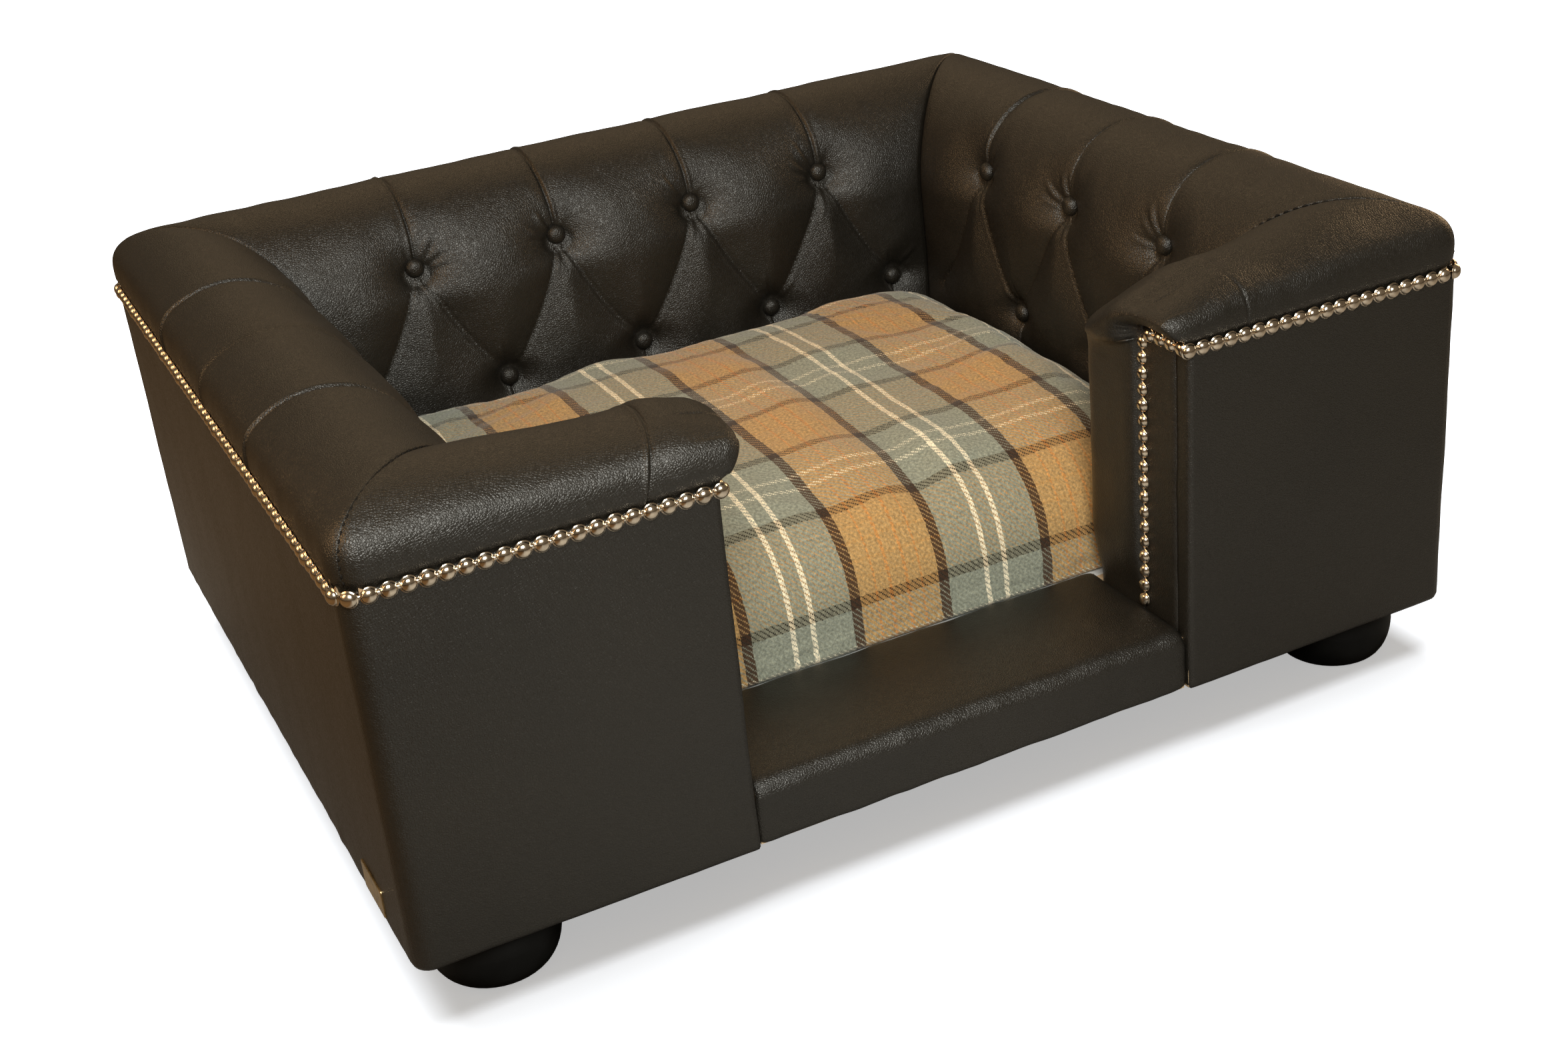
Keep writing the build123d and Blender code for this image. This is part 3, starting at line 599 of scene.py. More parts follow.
def slopes(t, u, z):
    """The outline's direction, row by row."""
    du, dz = np.gradient(u, t), np.gradient(z, t)
    length = np.hypot(du, dz)
    return du / length, dz / length


def spread(x, centre, run, new_run):
    """The share of the way from the centre to the run's end, laid out over a new run."""
    return centre + (x - centre) / (run - centre) * (new_run - centre)


def wall_pad(wall, half, tops, lows, centre, feet, seed):
    """A side wall or the rear one. Outside its centre stretch, the columns fan out to the mitred corners."""
    t, u, z = profile_rows(SIDE_REACH)
    t_up, t_low = rows_at(t, z, Z_UP), rows_at(t, z, Z_LOW)
    top_run = half_run(half, u[0])
    cols = stations(-top_run, top_run, 2.5, tops + lows)
    T, S = np.meshgrid(t, cols, indexing="ij")
    share = np.clip((np.abs(S) - centre) / (top_run - centre), 0, 1)
    fan = np.sign(S) * (centre + share * (half_run(half, u)[:, None] - centre))
    S = np.where(np.abs(S) <= centre, S, fan)
    S, T = snap(S, T, diagonal_lines(t_up, t_low, tops, lows, feet, seed), 1.15)
    un, zn = np.interp(T, t, u), np.interp(T, t, z)
    du, dz = slopes(t, u, z)
    nu, nz = np.interp(T, t, -dz), np.interp(T, t, du)
    hide = Hide(S, T)
    up_depth, low_depth = base_depth(t, u, t_up, SEAT_UP), base_depth(t, u, t_low, SEAT_LOW)
    drop = buttoning(hide, t_up, t_low, t[-1], up_depth, low_depth, tops, lows, feet, seed)
    run = half_run(half, un)
    sewn = {"left": S > 0, "right": S < 0}.get(wall, np.zeros_like(S)) * 1.0      # beside a wing
    h = relief(S, T, run - np.abs(S), drop, hide.fold, t, z, seed, sewn)
    U, Z = un + h * nu, zn + h * nz
    D = np.where(np.abs(S) > centre, np.sign(S) * spread(np.abs(S), centre, run, half_run(half, U)), S)
    a, b = plan(half, U, D)
    place = PLACE[wall]
    back = []
    for inboard, height in ((PAD_BACK, DECK), (PAD_BACK, NAIL_Z + 1), (16.0, NAIL_Z + 1)):
        fan = spread(np.abs(cols), centre, top_run, half_run(half, inboard))
        D = np.sign(cols) * np.where(np.abs(cols) <= centre, np.abs(cols), fan)
        back.append(np.stack(place(*plan(half, np.full_like(D, inboard), D), np.full_like(D, height)), -1))
    pad_piece(wall, np.stack(place(a, b, Z), -1), back)


REAR_PITCH, SIDE_PITCH, SIDE_SHIFT = 134, 137, 8.0
rear_tops = [(i - 1.5) * REAR_PITCH for i in range(4)]
rear_lows = [(i - 2) * REAR_PITCH for i in range(5)]
side_tops = [(i - 1) * SIDE_PITCH for i in range(3)]
side_lows = [(i - 0.5) * SIDE_PITCH for i in range(2)]
# wall, its half length, and the buttons of its roll and of its lower row
WALLS = [("rear", HW, rear_tops, rear_lows)]
for wall, shift in (("left", SIDE_SHIFT), ("right", -SIDE_SHIFT)):
    WALLS.append((wall, HD, [x + shift for x in side_tops], [x + shift for x in side_lows]))
# and its centre stretch, the spread of its end diagonals, and its seed
for args, more in zip(WALLS, ((276.0, 67.0, 100), (165.0, 62.0, 200), (165.0, 62.0, 300))):
    wall_pad(*args, *more)


# ---------------------------------------------------------------- wings

WING_BUTTON = 240.0
CREASE = WING_BUTTON - 3.0                 # the column that the roll's pleat runs along
END_X = HALF_OPEN - 0.6                    # the free end's plane, flush with the facing
BACK_X = HALF_OPEN + 1.5
WING_BACK = PAD_BACK - 2
FIRST, FIXED_LO, FIXED_HI = 205.0, 222.0, 262.0      # columns shift outside the fixed stretch
CAP_COLS = 30                              # points across the rounded end


def wing_end(t, u, z, crest, blunt):
    """The rounded free end, row by row: from where the sheet stops, round and back to behind the facing's edge.

    Gives its points, where the sheet stops, and each point's distance from that back line.
    """
    outer = t < crest
    # where the end stands: over the facing on the roll, flush with it below
    overhang = np.where(outer, smoothstep(330.0, 374.0, z), smoothstep(328.0, 368.0, z))
    inner_end = 8.0 * smoothstep(100.0, 150.0, z) + (SCROLL - 14.0) * smoothstep(310.0, 368.0, z)
    x_end = END_X - np.where(outer, (SCROLL - 6.0) * overhang, inner_end)
    front_r = 3.0 + 9.0 * smoothstep(332.0, 352.0, z) + (blunt - 12.0) * smoothstep(368.0, 384.0, z)
    round_r = np.where(outer, front_r, 24.0 + (blunt - 24.0) * smoothstep(340.0, 378.0, z))
    # the line behind the facing's edge that the end turns back to
    under_z = NAIL_Z + 7.0 + 8.0 * np.sin(np.clip(u / PAD_BACK, 0, 1) * math.pi / 2)
    cu = np.where(outer, np.clip(3.5 + (u + 4.0) * 0.86, 3.5, WING_BACK), WING_BACK)
    inner_top, inner_low = NAIL_Z + 15.0, 325.0
    lowered = inner_top - (inner_top - inner_low) * smoothstep(crest, rows_at(t, z, inner_low), t)
    cz = np.where(outer, under_z, np.minimum(lowered, np.where(z < inner_low, z, 999.0)))
    cz[0] = z[0]
    width = np.maximum(np.hypot(cu - u, cz - z), 1.0)
    round_r = np.minimum(round_r, 0.48 * width)
    back_r = np.minimum(np.where(outer | (z > 345.0), 20.0, 5.0), 0.5 * width)
    eu, ez = (cu - u) / width, (cz - z) / width
    share = np.linspace(0, 1, CAP_COLS)
    w = width[:, None] * (0.35 * share + 0.65 * (0.5 - 0.5 * np.cos(share * math.pi)))[None, :]
    r = round_r[:, None]
    turn = r - np.sqrt(np.maximum(r**2 - np.clip(r - w, 0, None) ** 2, 0))
    k = np.clip((w - (width - back_r)[:, None]) / back_r[:, None], 0, 1)
    belly = 2.5 * smoothstep(336.0, 362.0, z)[:, None] * np.sin(np.clip(w / width[:, None], 0, 1) * math.pi) ** 2
    cap_x = x_end[:, None] + turn - belly + (BACK_X - x_end)[:, None] * (1 - np.sqrt(np.maximum(1 - k**2, 0)))
    cap = np.stack([cap_x, u[:, None] + w * eu[:, None], z[:, None] + w * ez[:, None]], -1)[:, ::-1]
    return cap, (x_end + round_r)[:, None], (width[:, None] - w)[:, ::-1]


def wing_pad(side, crisp, bow, blunt, swell, fullest, sag):
    """side 1 is the right wing, -1 the left. Its free end turns round over the facing.

    crisp and bow shape the roll's pleat, blunt the end's roundness, swell the roll past the pleat, fullest is the
    height where the end stands out most, and sag gives how deep the roll sinks between two distances from the middle.
    """
    wall = "right_wing" if side > 0 else "left_wing"
    t, u, z = profile_rows(WING_REACH)
    crest = t[np.argmax(z)]
    outer = t < crest
    tuck = [float(np.interp(inboard, u[outer][3:], t[outer][3:])) for inboard in (9.0, 38.0)]
    t, u, z = profile_rows(WING_REACH, tuck)
    t_up = rows_at(t, z, Z_UP)
    cap, s_start, from_back = wing_end(t, u, z, crest, blunt)
    # main sheet
    top_run = half_run(HW, u[0])
    cols = stations(FIRST, top_run, 2.5, [CREASE])
    T, S0 = np.meshgrid(t, cols, indexing="ij")
    H = half_run(HW, u)[:, None]
    S = np.where(S0 < FIXED_LO, FIXED_LO - (FIXED_LO - S0) / (FIXED_LO - FIRST) * (FIXED_LO - s_start), S0)
    S = np.where(S0 > FIXED_HI, spread(S0, FIXED_HI, top_run, H), S)
    # columns bend along with the pleat
    a = np.clip((t_up - t) / (t_up + 4.0), 0, 1)
    shift = (WING_BUTTON - 4.0 * a + bow * np.sin(a * math.pi) ** 1.7 - CREASE)[:, None]
    before, after = (S - s_start) / (CREASE - s_start), (340.0 - S) / (340.0 - CREASE)
    S = S + shift * np.minimum(np.clip(before, 0, 1), np.clip(after, 0, 1))
    # the leather's own coordinates go on over the end
    gap = np.linalg.norm(np.diff(cap, axis=1), axis=2)[:, ::-1]
    run = np.concatenate([np.zeros((len(t), 1)), np.cumsum(gap, 1)], 1)[:, ::-1]
    all_s = np.concatenate([(s_start - run)[:, :-1], S], 1)
    all_t = np.concatenate([np.repeat(t[:, None], CAP_COLS - 1, 1), T], 1)
    hide = Hide(all_s, all_t)
    seat = base_depth(t, u, t_up, SEAT_UP)
    button = (WING_BUTTON, t_up)
    hide.pleat(button, (WING_BUTTON - 4.0, -4.0), (12.0, 0.4), (44.0, 7.0), 2.2, 3.4, bow, crisp, -1, 1.7)
    for foot in (WING_BUTTON - 32.0, WING_BUTTON + 58.0):
        hide.pleat(button, (foot, t[-1] - 20), (11.0, 2.0), (40.0, 30.0), 2.0, 1.0, 4.0, 0.8, 1)
    for angle, length, tall in ((30, 36, 1.3), (-35, 34, 1.2), (70, 28, 0.9)):
        hide.ray(*button, angle, length, tall)
    hide.seat(*button, seat)
    drop = hide.drop([(*button, seat)])
    edge = np.concatenate([np.full((len(t), CAP_COLS - 1), 999.0), np.repeat(H, len(cols), 1)], 1) - all_s
    h = relief(all_s, all_t, edge, drop, hide.fold, t, z, 400 + side, 1.0)
    # the end: swelling past the pleat, a sunk tuck between two folds, and gathers under it
    on_roll = smoothstep(336.0, 350.0, z)[:, None]
    h += swell * smoothstep(232.0, 203.0, all_s) * on_roll
    near_end = smoothstep(-22.0, -4.0, s_start - all_s)
    t1, t2 = tuck
    inside = smoothstep(t1 - 0.8, t1 + 4.0, all_t) * (1 - smoothstep(t2 - 4.0, t2 + 0.8, all_t))
    lips = np.exp(-np.abs(all_t - t1) / 8.0) * (all_t <= t1) + np.exp(-np.abs(all_t - t2) / 9.0) * (all_t >= t2)
    grooves = [0.5 * gauss(all_t - t1 - 1.0, 2.0), 0.5 * gauss(all_t - t2 + 1.0, 2.0)]
    h += (-0.9 * inside + 0.5 * lips - grooves[0] - grooves[1]) * near_end
    plain = np.zeros((len(t), len(cols) - 1))
    low = np.concatenate([np.exp(-from_back / 12.0), plain], 1)
    h += 0.45 * np.sin(all_t * 2 * math.pi / 17.0 + 0.8) * low * on_roll
    h *= np.concatenate([smoothstep(0, 8, from_back), plain + 1], 1)
    # plain surface and its normals
    U0, Z0 = np.repeat(u[:, None], len(cols), 1), np.repeat(z[:, None], len(cols), 1)
    main = np.stack([*plan(HW, U0, S), Z0], -1)
    P0 = np.concatenate([cap[:, :-1], main], 1)
    n = np.cross(np.gradient(P0, axis=1), np.gradient(P0, axis=0))
    n /= np.maximum(np.linalg.norm(n, axis=2, keepdims=True), 1e-9)
    P = P0 + n * h[..., None]
    # towards the corner seam the leather stays in the mitre's plane
    du, dz = slopes(t, u, z)
    h_main = h[:, CAP_COLS - 1:]
    U, Z = U0 - h_main * dz[:, None], Z0 + h_main * du[:, None]
    part = np.clip((S - FIXED_HI) / (H - FIXED_HI), 0, None)
    D = np.where(S > FIXED_HI, FIXED_HI + part * (half_run(HW, U) - FIXED_HI), S)
    mitred = S > FIXED_LO
    P[:, CAP_COLS - 1:][mitred] = np.stack([*plan(HW, U, D), Z], -1)[mitred]
    # the roll sinks towards its free end
    sunk = sum(deep * smoothstep(a, b, all_s) for deep, a, b in sag)
    u_at = P[..., 1]
    inboard = 0.6 + 0.4 * smoothstep(5.0, 50.0, u_at) + 0.5 * smoothstep(60.0, 110.0, u_at)
    foot_z = 333.0 - 50.0 * smoothstep(40.0, 90.0, u_at)
    P[..., 2] -= sunk * inboard * np.clip((P[..., 2] - foot_z) / (ROLL_TOP - foot_z), 0, 1) ** 1.15
    # and below its fullest point the end runs back to the facing in a slant
    over = 2.0 + (SCROLL - 5.0) * np.clip((P[..., 2] - 332.0) / (fullest - 332.0), 0, 1)
    edge_x = END_X - over
    trim = edge_x + 3.0 * np.logaddexp(0, (P[..., 0] - edge_x) / 3.0) - P[..., 0]
    P[..., 0] += trim * (1 - smoothstep(35.0, 70.0, u_at)) * smoothstep(215.0, 190.0, P[..., 0])
    place = PLACE[wall]
    back = []
    for inboard, height in ((WING_BACK, DECK), (WING_BACK, NAIL_Z + 1), (16.0, NAIL_Z + 1)):
        D = BACK_X + (cols - FIRST) / (top_run - FIRST) * (half_run(HW, inboard) - BACK_X)
        back.append(np.stack(place(*plan(HW, np.full_like(D, inboard), D), np.full_like(D, height)), -1))
    pad_piece(wall, np.stack(place(P[..., 0], P[..., 1], P[..., 2]), -1), back, split=True, mirror=side < 0)


wing_pad(1, 0.15, -4.0, 24.0, 1.4, 352.0, ((14.0, 375.0, 250.0), (17.0, 240.0, 168.0)))
wing_pad(-1, 1.3, -22.0, 16.0, 3.0, 361.0, ((9.5, 400.0, 215.0), (7.5, 212.0, 166.0)))


# ---------------------------------------------------------------- outside panels, facings and step

def sheet(name, path, rise, height, nodes, thick=1.2):
    """A leather sheet. path is its line in plan, with the outside on its right; rise its insets and heights,
    from the nails down; height(s, t) is its unevenness."""
    s, pts = resample(path, 4.0)
    tang = np.gradient(pts, axis=0)
    tang /= np.linalg.norm(tang, axis=1, keepdims=True)
    out = np.stack([tang[:, 1], -tang[:, 0]], 1)
    t, prof = resample(rise, 3.0)
    S, T = np.meshgrid(s, t, indexing="ij")
    inset = prof[None, :, 0] - height(S, T)
    X = pts[:, None, 0] - out[:, None, 0] * inset
    Y = pts[:, None, 1] - out[:, None, 1] * inset
    P = np.stack([X, Y, np.broadcast_to(prof[None, :, 1], X.shape)], -1).reshape(-1, 3)
    obj = new_object(name, P * MM, grid_faces(len(s), len(t)))
    skin = obj.modifiers.new("thickness", "SOLIDIFY")
    skin.thickness, skin.offset = thick * MM, -1
    bake_modifiers(obj)
    finish_piece(obj, LEATHER, "bed_frame", nodes)


def panel_rise():
    """Down from the nails, and drawn under at the lower edge."""
    low, r = 49.2, 2.6
    hem = [(r - r * math.cos(a), low + r - r * math.sin(a)) for a in np.linspace(0.2, math.pi / 2, 6)]
    return [(0.0, NAIL_Z), (0.0, 200.0), (0.0, low + r)] + hem + [(10.0, low)]


def panel_height(seed):
    def height(S, T):
        soft = 0.4 * waves(seed, np.stack([S, T], -1), 150.0)
        pulls = -0.25 * (0.5 + 0.5 * np.cos(2 * math.pi * S / PITCH)) * np.exp(-T / 9.0)
        hem = 0.35 * waves(seed + 1, np.stack([S, T * 0.2], -1), 40.0) * gauss(T - 272.0, 14.0)
        return (soft + pulls + hem) * smoothstep(0, 6, T) * smoothstep(290, 276, T)
    return height


# the outside leather's plane and corner radius, and its edge at a wing's end
FACE_X, FACE_Y, FACE_R = HW - PANEL_FACE, HD - PANEL_FACE, NAIL_R - PANEL_FACE
EDGE = HALF_OPEN + 1.3
wrap = [(-EDGE, -FACE_Y + 16.0)] + arc_points(-EDGE - 2.8, -FACE_Y + 2.8, 2.8, 360, 270, 7)
wrap += arc_points(-FACE_X + FACE_R, -FACE_Y + FACE_R, FACE_R, 270, 180, 10)
wrap += arc_points(-FACE_X + FACE_R, FACE_Y - FACE_R, FACE_R, 180, 90, 10)
straight = [(FACE_X - FACE_R, FACE_Y), (-FACE_X + FACE_R, FACE_Y)]
mirrored = [(-x, y) for x, y in wrap]
for seed, wall, path in ((11, "left", wrap[::-1]), (12, "right", mirrored), (13, "rear", straight)):
    nodes = [f"{wall}_outer_cover"] + ([] if wall == "rear" else [f"{wall}_wing_outer_cover"])
    sheet(f"{wall}_panel", path, panel_rise(), panel_height(seed), nodes)


def facing(side):
    """The narrow leather that closes a wing's end: flat, with a soft front edge."""
    front, r = -345.5, 4.5
    path = [(HALF_OPEN + 8.0, front)] + arc_points(HALF_OPEN + r, front + r, r, 270, 180, 8)
    path += [(HALF_OPEN, -300.0)]
    path = path[::-1] if side > 0 else [(-x, y) for x, y in path]
    rise = [(0.0, NAIL_Z + 17.0), (0.0, 200.0), (0.0, 90.0)]

    def height(S, T):
        soft = 0.5 * waves(60 + side, np.stack([S, T], -1), 70.0) * smoothstep(0, 5, T)
        return soft - 0.4 + 0.7 * gauss(S - 38.0, 22.0)
    wall = "right_wing" if side > 0 else "left_wing"
    sheet(f"{wall}_end", path, rise, height, [f"{wall}_facing"], thick=1.6)


facing(1)
facing(-1)


def step_piece():
    """The low padded sill: leather over foam, drawn over its front edge and tucked under."""
    half_x, top, front, rear = HALF_OPEN - 0.7, 100.0, -356.6, -230.6
    quarter = math.pi / 2
    r_rear, r_front, r_under = 4, 13, 3.5
    prof = [(rear, 80.0), (rear, top - r_rear)]
    prof += [(rear - r_rear + r_rear * math.cos(a), top - r_rear + r_rear * math.sin(a))
             for a in np.linspace(0, quarter, 6)[1:]]
    prof += [(front + r_front - r_front * math.sin(a), top - r_front + r_front * math.cos(a))
             for a in np.linspace(0, quarter, 10)]
    prof += [(front, 54.0)]
    prof += [(front + r_under - r_under * math.cos(a), 53.5 - r_under * math.sin(a))
             for a in np.linspace(0.3, quarter, 5)]
    prof += [(front + 9.0, 49.8), (front + 9.0, 60.0), (rear - 9.0, 80.0)]
    t, pts = resample(prof, 2.6)
    xs = np.linspace(-half_x, half_x, 131)
    X, T = np.meshgrid(xs, t, indexing="ij")
    d = np.gradient(pts, axis=0)
    d /= np.linalg.norm(d, axis=1, keepdims=True)
    n = np.stack([-d[:, 1], d[:, 0]], 1)
    if n[np.argmin(np.abs(pts[:, 1] - top)), 1] < 0:
        n = -n
    on_top = smoothstep(top - 20, top - 2, pts[:, 1])
    middle = np.clip(1 - ((pts[:, 0] + 293.0) / 60.0) ** 2, 0, 1) * on_top
    shown = ((t > 4) & (t < t[-1] * 0.62)).astype(float)[None, :]
    h = 1.6 * middle[None, :] * (1 - (X / half_x) ** 4)
    h = h + 0.6 * waves(71, np.stack([X, T], -1), 90.0) * shown
    ends = half_x - np.abs(X)
    h -= (2.2 * np.exp(-ends / 3.0) + 0.5 * np.exp(-ends / 14.0) * (0.6 + 0.4 * np.sin(T / 5.0))) * shown
    wider = 1 + 1.3 / half_x * smoothstep(92.0, 84.0, pts[:, 1])      # fills the entry below the facings
    P = np.stack([X * wider, pts[None, :, 0] + n[None, :, 0] * h, pts[None, :, 1] + n[None, :, 1] * h], -1)
    m = len(t)
    faces = grid_faces(len(xs), m)
    faces += [(i * m + m - 1, i * m, (i + 1) * m, (i + 1) * m + m - 1) for i in range(len(xs) - 1)]
    faces += [tuple(range(m))[::-1], tuple((len(xs) - 1) * m + j for j in range(m))]
    obj = new_object("step", P.reshape(-1, 3) * MM, faces)
    flat_caps(obj)
    finish_piece(obj, LEATHER, "bed_frame", ("step_cover", "step_foam"))


step_piece()


# ---------------------------------------------------------------- nail strips

def dome(radius, height, rings=6, seg=16):
    """One head with a thin rim, its flat back at the origin, facing +Z."""
    rim, edge = radius * 1.12, 0.5
    rise = [(radius * math.cos(a), edge + (height - edge) * math.sin(a))
            for a in np.linspace(0, math.pi / 2, rings, endpoint=False)]
    turn = [2 * math.pi * i / seg for i in range(seg)]
    verts = [(r * math.cos(a), r * math.sin(a), z) for r, z in [(rim, 0.0), (rim, edge)] + rise for a in turn]
    return np.array(verts + [(0, 0, height)]), tipped_faces(rings + 2, seg)


def add_part(verts, faces, v, f):
    base = len(verts)
    verts.extend(v)
    faces.extend(tuple(base + i for i in ff) for ff in f)


def towards(out):
    """The turn that makes a part facing +Z face out, its Y upright."""
    out, up = np.array(out, float), np.array((0.0, 0.0, 1.0))
    return np.stack([np.cross(up, out), up, out], 1).T


def nails(wall, places, links):
    """places: position, outward normal and whether the head is a real, bigger nail.
    links: end points and outward normal of each joining bar."""
    bar_width, bar_depth = 1.5, 1.1
    bar = [(0, 1, 3, 2), (4, 6, 7, 5), (0, 4, 5, 1), (2, 3, 7, 6), (1, 5, 7, 3), (0, 2, 6, 4)]
    verts, faces = [], []
    for pos, out, big in places:
        v, f = dome(5.7, 5.0) if big else dome(5.4, 4.4)
        add_part(verts, faces, np.array(pos) + v @ towards(out), f)
    for link in links:
        p, q, out = [np.array(c, float) for c in link]
        along = (q - p) / np.linalg.norm(q - p)
        wide = np.cross(out, along) * bar_width
        corners = [e + s * wide + d * out for e in (p, q) for s in (-1, 1) for d in (0.0, bar_depth)]
        add_part(verts, faces, corners, bar)
    obj = new_object(f"{wall}_nails", np.array(verts) * MM, faces)
    finish_piece(obj, NICKEL, "bed_frame", (f"{wall}_nail_strip",))


def ring_of_nails():
    """Positions and outward normals at one pitch round the outside, from the left wing's end to the right's."""
    x, y, r = FACE_X - FACE_R, FACE_Y - FACE_R, FACE_R
    path = [(-HALF_OPEN - 1, -FACE_Y), (-x, -FACE_Y)] + arc_points(-x, -y, r, 270, 180, 12)[1:]
    path += arc_points(-x, y, r, 180, 90, 12) + arc_points(x, y, r, 90, 0, 12)
    path += arc_points(x, -y, r, 360, 270, 12) + [(HALF_OPEN + 1, -FACE_Y)]
    t, pts = resample(path, 0.5)
    at = np.linspace(0, t[-1], int(round(t[-1] / PITCH)) + 1)
    pos = np.stack([np.interp(at, t, pts[:, 0]), np.interp(at, t, pts[:, 1])], 1)
    d = np.gradient(pos, axis=0)
    d /= np.linalg.norm(d, axis=1, keepdims=True)
    return pos, np.stack([-d[:, 1], d[:, 0]], 1)


def wall_at(x, y):
    """The wall that a nail of the ring belongs to."""
    if y < -HD + NAIL_R and abs(x) < HW - NAIL_R:
        return "left_wing" if x < 0 else "right_wing"
    if y > HD - NAIL_R and abs(x) < HW - NAIL_R:
        return "rear"
    return "left" if x < 0 else "right"


def all_nails():
    heads = {wall: [] for wall in ("left_wing", "left", "rear", "right", "right_wing")}
    links = {wall: [] for wall in heads}
    ring = []
    for k, (p, o) in enumerate(zip(*ring_of_nails())):
        wall = wall_at(*p)
        corner = abs(p[0]) > HW - NAIL_R and abs(p[1]) > HD - NAIL_R
        if not corner:
            o = {"left": (-1.0, 0.0), "right": (1.0, 0.0), "rear": (0.0, 1.0)}.get(wall, (0.0, -1.0))
        elif np.dot(o, p) < 0:
            o = -o
        ring.append((wall, (p[0], p[1], NAIL_Z), (o[0], o[1], 0.0)))
        heads[wall].append((*ring[-1][1:], k % 5 == 1))
    for (wall, p, o), (_, q, _) in zip(ring[:-1], ring[1:]):
        links[wall].append((p, q, o))
    # down the wings' ends: back from the corner, round a bend, then down to the step
    y0, y1, bend, low = -HD + 9.0, -HD + 57.0, 13.0, 106.0
    path = [(y0, NAIL_Z)] + arc_points(y1 - bend, NAIL_Z - bend, bend, 90, 0, 7) + [(y1, low)]
    t, pts = resample(path, 1.0)
    at = np.linspace(0, t[-1], int(t[-1] / PITCH) + 1)
    for side, wall in ((-1, "left_wing"), (1, "right_wing")):
        spots = [(side * HALF_OPEN, np.interp(a, t, pts[:, 0]), np.interp(a, t, pts[:, 1])) for a in at]
        heads[wall] += [(p, (-side, 0, 0), k % 5 == 3) for k, p in enumerate(spots)]
        links[wall] += [(p, q, (-side, 0, 0)) for p, q in zip(spots[:-1], spots[1:])]
    for wall in heads:
        nails(wall, heads[wall], links[wall])


all_nails()


# ---------------------------------------------------------------- buttons, stitches, plate

def button_mesh(rng, radius=9.2, height=7.2, rings=9, seg=28):
    """A covered button: the leather is drawn over the rim with small creases."""
    phase, creases, sunk = rng.random() * 6.28, 9, 2.0
    verts = []
    for k in range(rings):
        a = k / rings * math.pi / 2
        rim = math.cos(a)
        for i in range(seg):
            th = 2 * math.pi * i / seg
            crease = 1 - 0.035 * rim**4 * (0.5 + 0.5 * math.sin(creases * th + phase))
            rad = radius * rim**0.8 * crease
            verts.append((rad * math.cos(th), rad * math.sin(th), -sunk + (height + sunk) * math.sin(a) ** 0.9))
    return np.array(verts + [(0, 0, height)]), tipped_faces(rings, seg)


def buttons(name, spots, out, seed):
    rng = np.random.default_rng(seed)
    verts, faces = [], []
    for pos in spots:
        v, f = button_mesh(rng)
        add_part(verts, faces, np.array(pos) + v @ towards(out), f)
    obj = new_object(name + "_covered", np.array(verts) * MM, faces)
    finish_piece(obj, LEATHER, "bed_frame", (name,))


for (wall, _, tops, lows), out in zip(WALLS, ((0, -1, 0), (1, 0, 0), (-1, 0, 0))):
    spots = [PLACE[wall](s, SEAT_UP, Z_UP) for s in tops] + [PLACE[wall](s, SEAT_LOW, Z_LOW) for s in lows]
    buttons(f"{wall}_buttons", spots, out, 500 + len(wall))
spots = [PLACE[wall](WING_BUTTON, SEAT_UP, Z_UP) for wall in ("left_wing", "right_wing")]
buttons("wing_buttons", spots, (0, 1, 0), 510)


def stitches(side):
    """Short stitches over the front corner's seam, from the nails over the roll."""
    t, pts = resample(dense_profile(WING_REACH), 0.5)
    pitch, half_length, above, round_by = 5.6, 1.7, 0.7, 6
    girth = ((0.0, 0.2), (0.2, 0.7), (0.5, 0.85), (0.8, 0.7), (1.0, 0.2))
    turn = np.linspace(0, 2 * math.pi, round_by + 1)[:-1]
    f = ring_faces(len(girth), round_by)
    f += [tuple(range(round_by))[::-1], tuple(range((len(girth) - 1) * round_by, len(girth) * round_by))]
    verts, faces = [], []
    for at in np.arange(9.0, 168.0, pitch):
        ends = []
        for d in (-half_length, half_length):
            u, z = [np.interp(at + d, t, pts[:, k]) for k in (0, 1)]
            du, dz = [np.interp(at + d + 1, t, pts[:, k]) - np.interp(at + d - 1, t, pts[:, k]) for k in (0, 1)]
            ln = math.hypot(du, dz)
            u, z = np.array([u + above * dz / ln]), z - above * du / ln
            a, b = plan(HW, u, half_run(HW, u) - 0.6)
            ends.append(np.array([side * a[0], -HD + b[0], z]))
        p, q = ends
        along = (q - p) / np.linalg.norm(q - p)
        out = np.array([side * 0.5, -0.5, 0.7])
        out -= along * out.dot(along)
        out /= np.linalg.norm(out)
        wide = np.cross(out, along)
        rings = []
        for share, rad in girth:
            c = p + (q - p) * share + out * (0.4 * math.sin(share * math.pi))
            rings += [c + rad * (math.cos(a) * wide + math.sin(a) * out) for a in turn]
        add_part(verts, faces, rings, f)
    name = "right_corner_stitches" if side > 0 else "left_corner_stitches"
    finish_piece(new_object(name, np.array(verts) * MM, faces), THREAD, "bed_frame")


stitches(-1)
stitches(1)


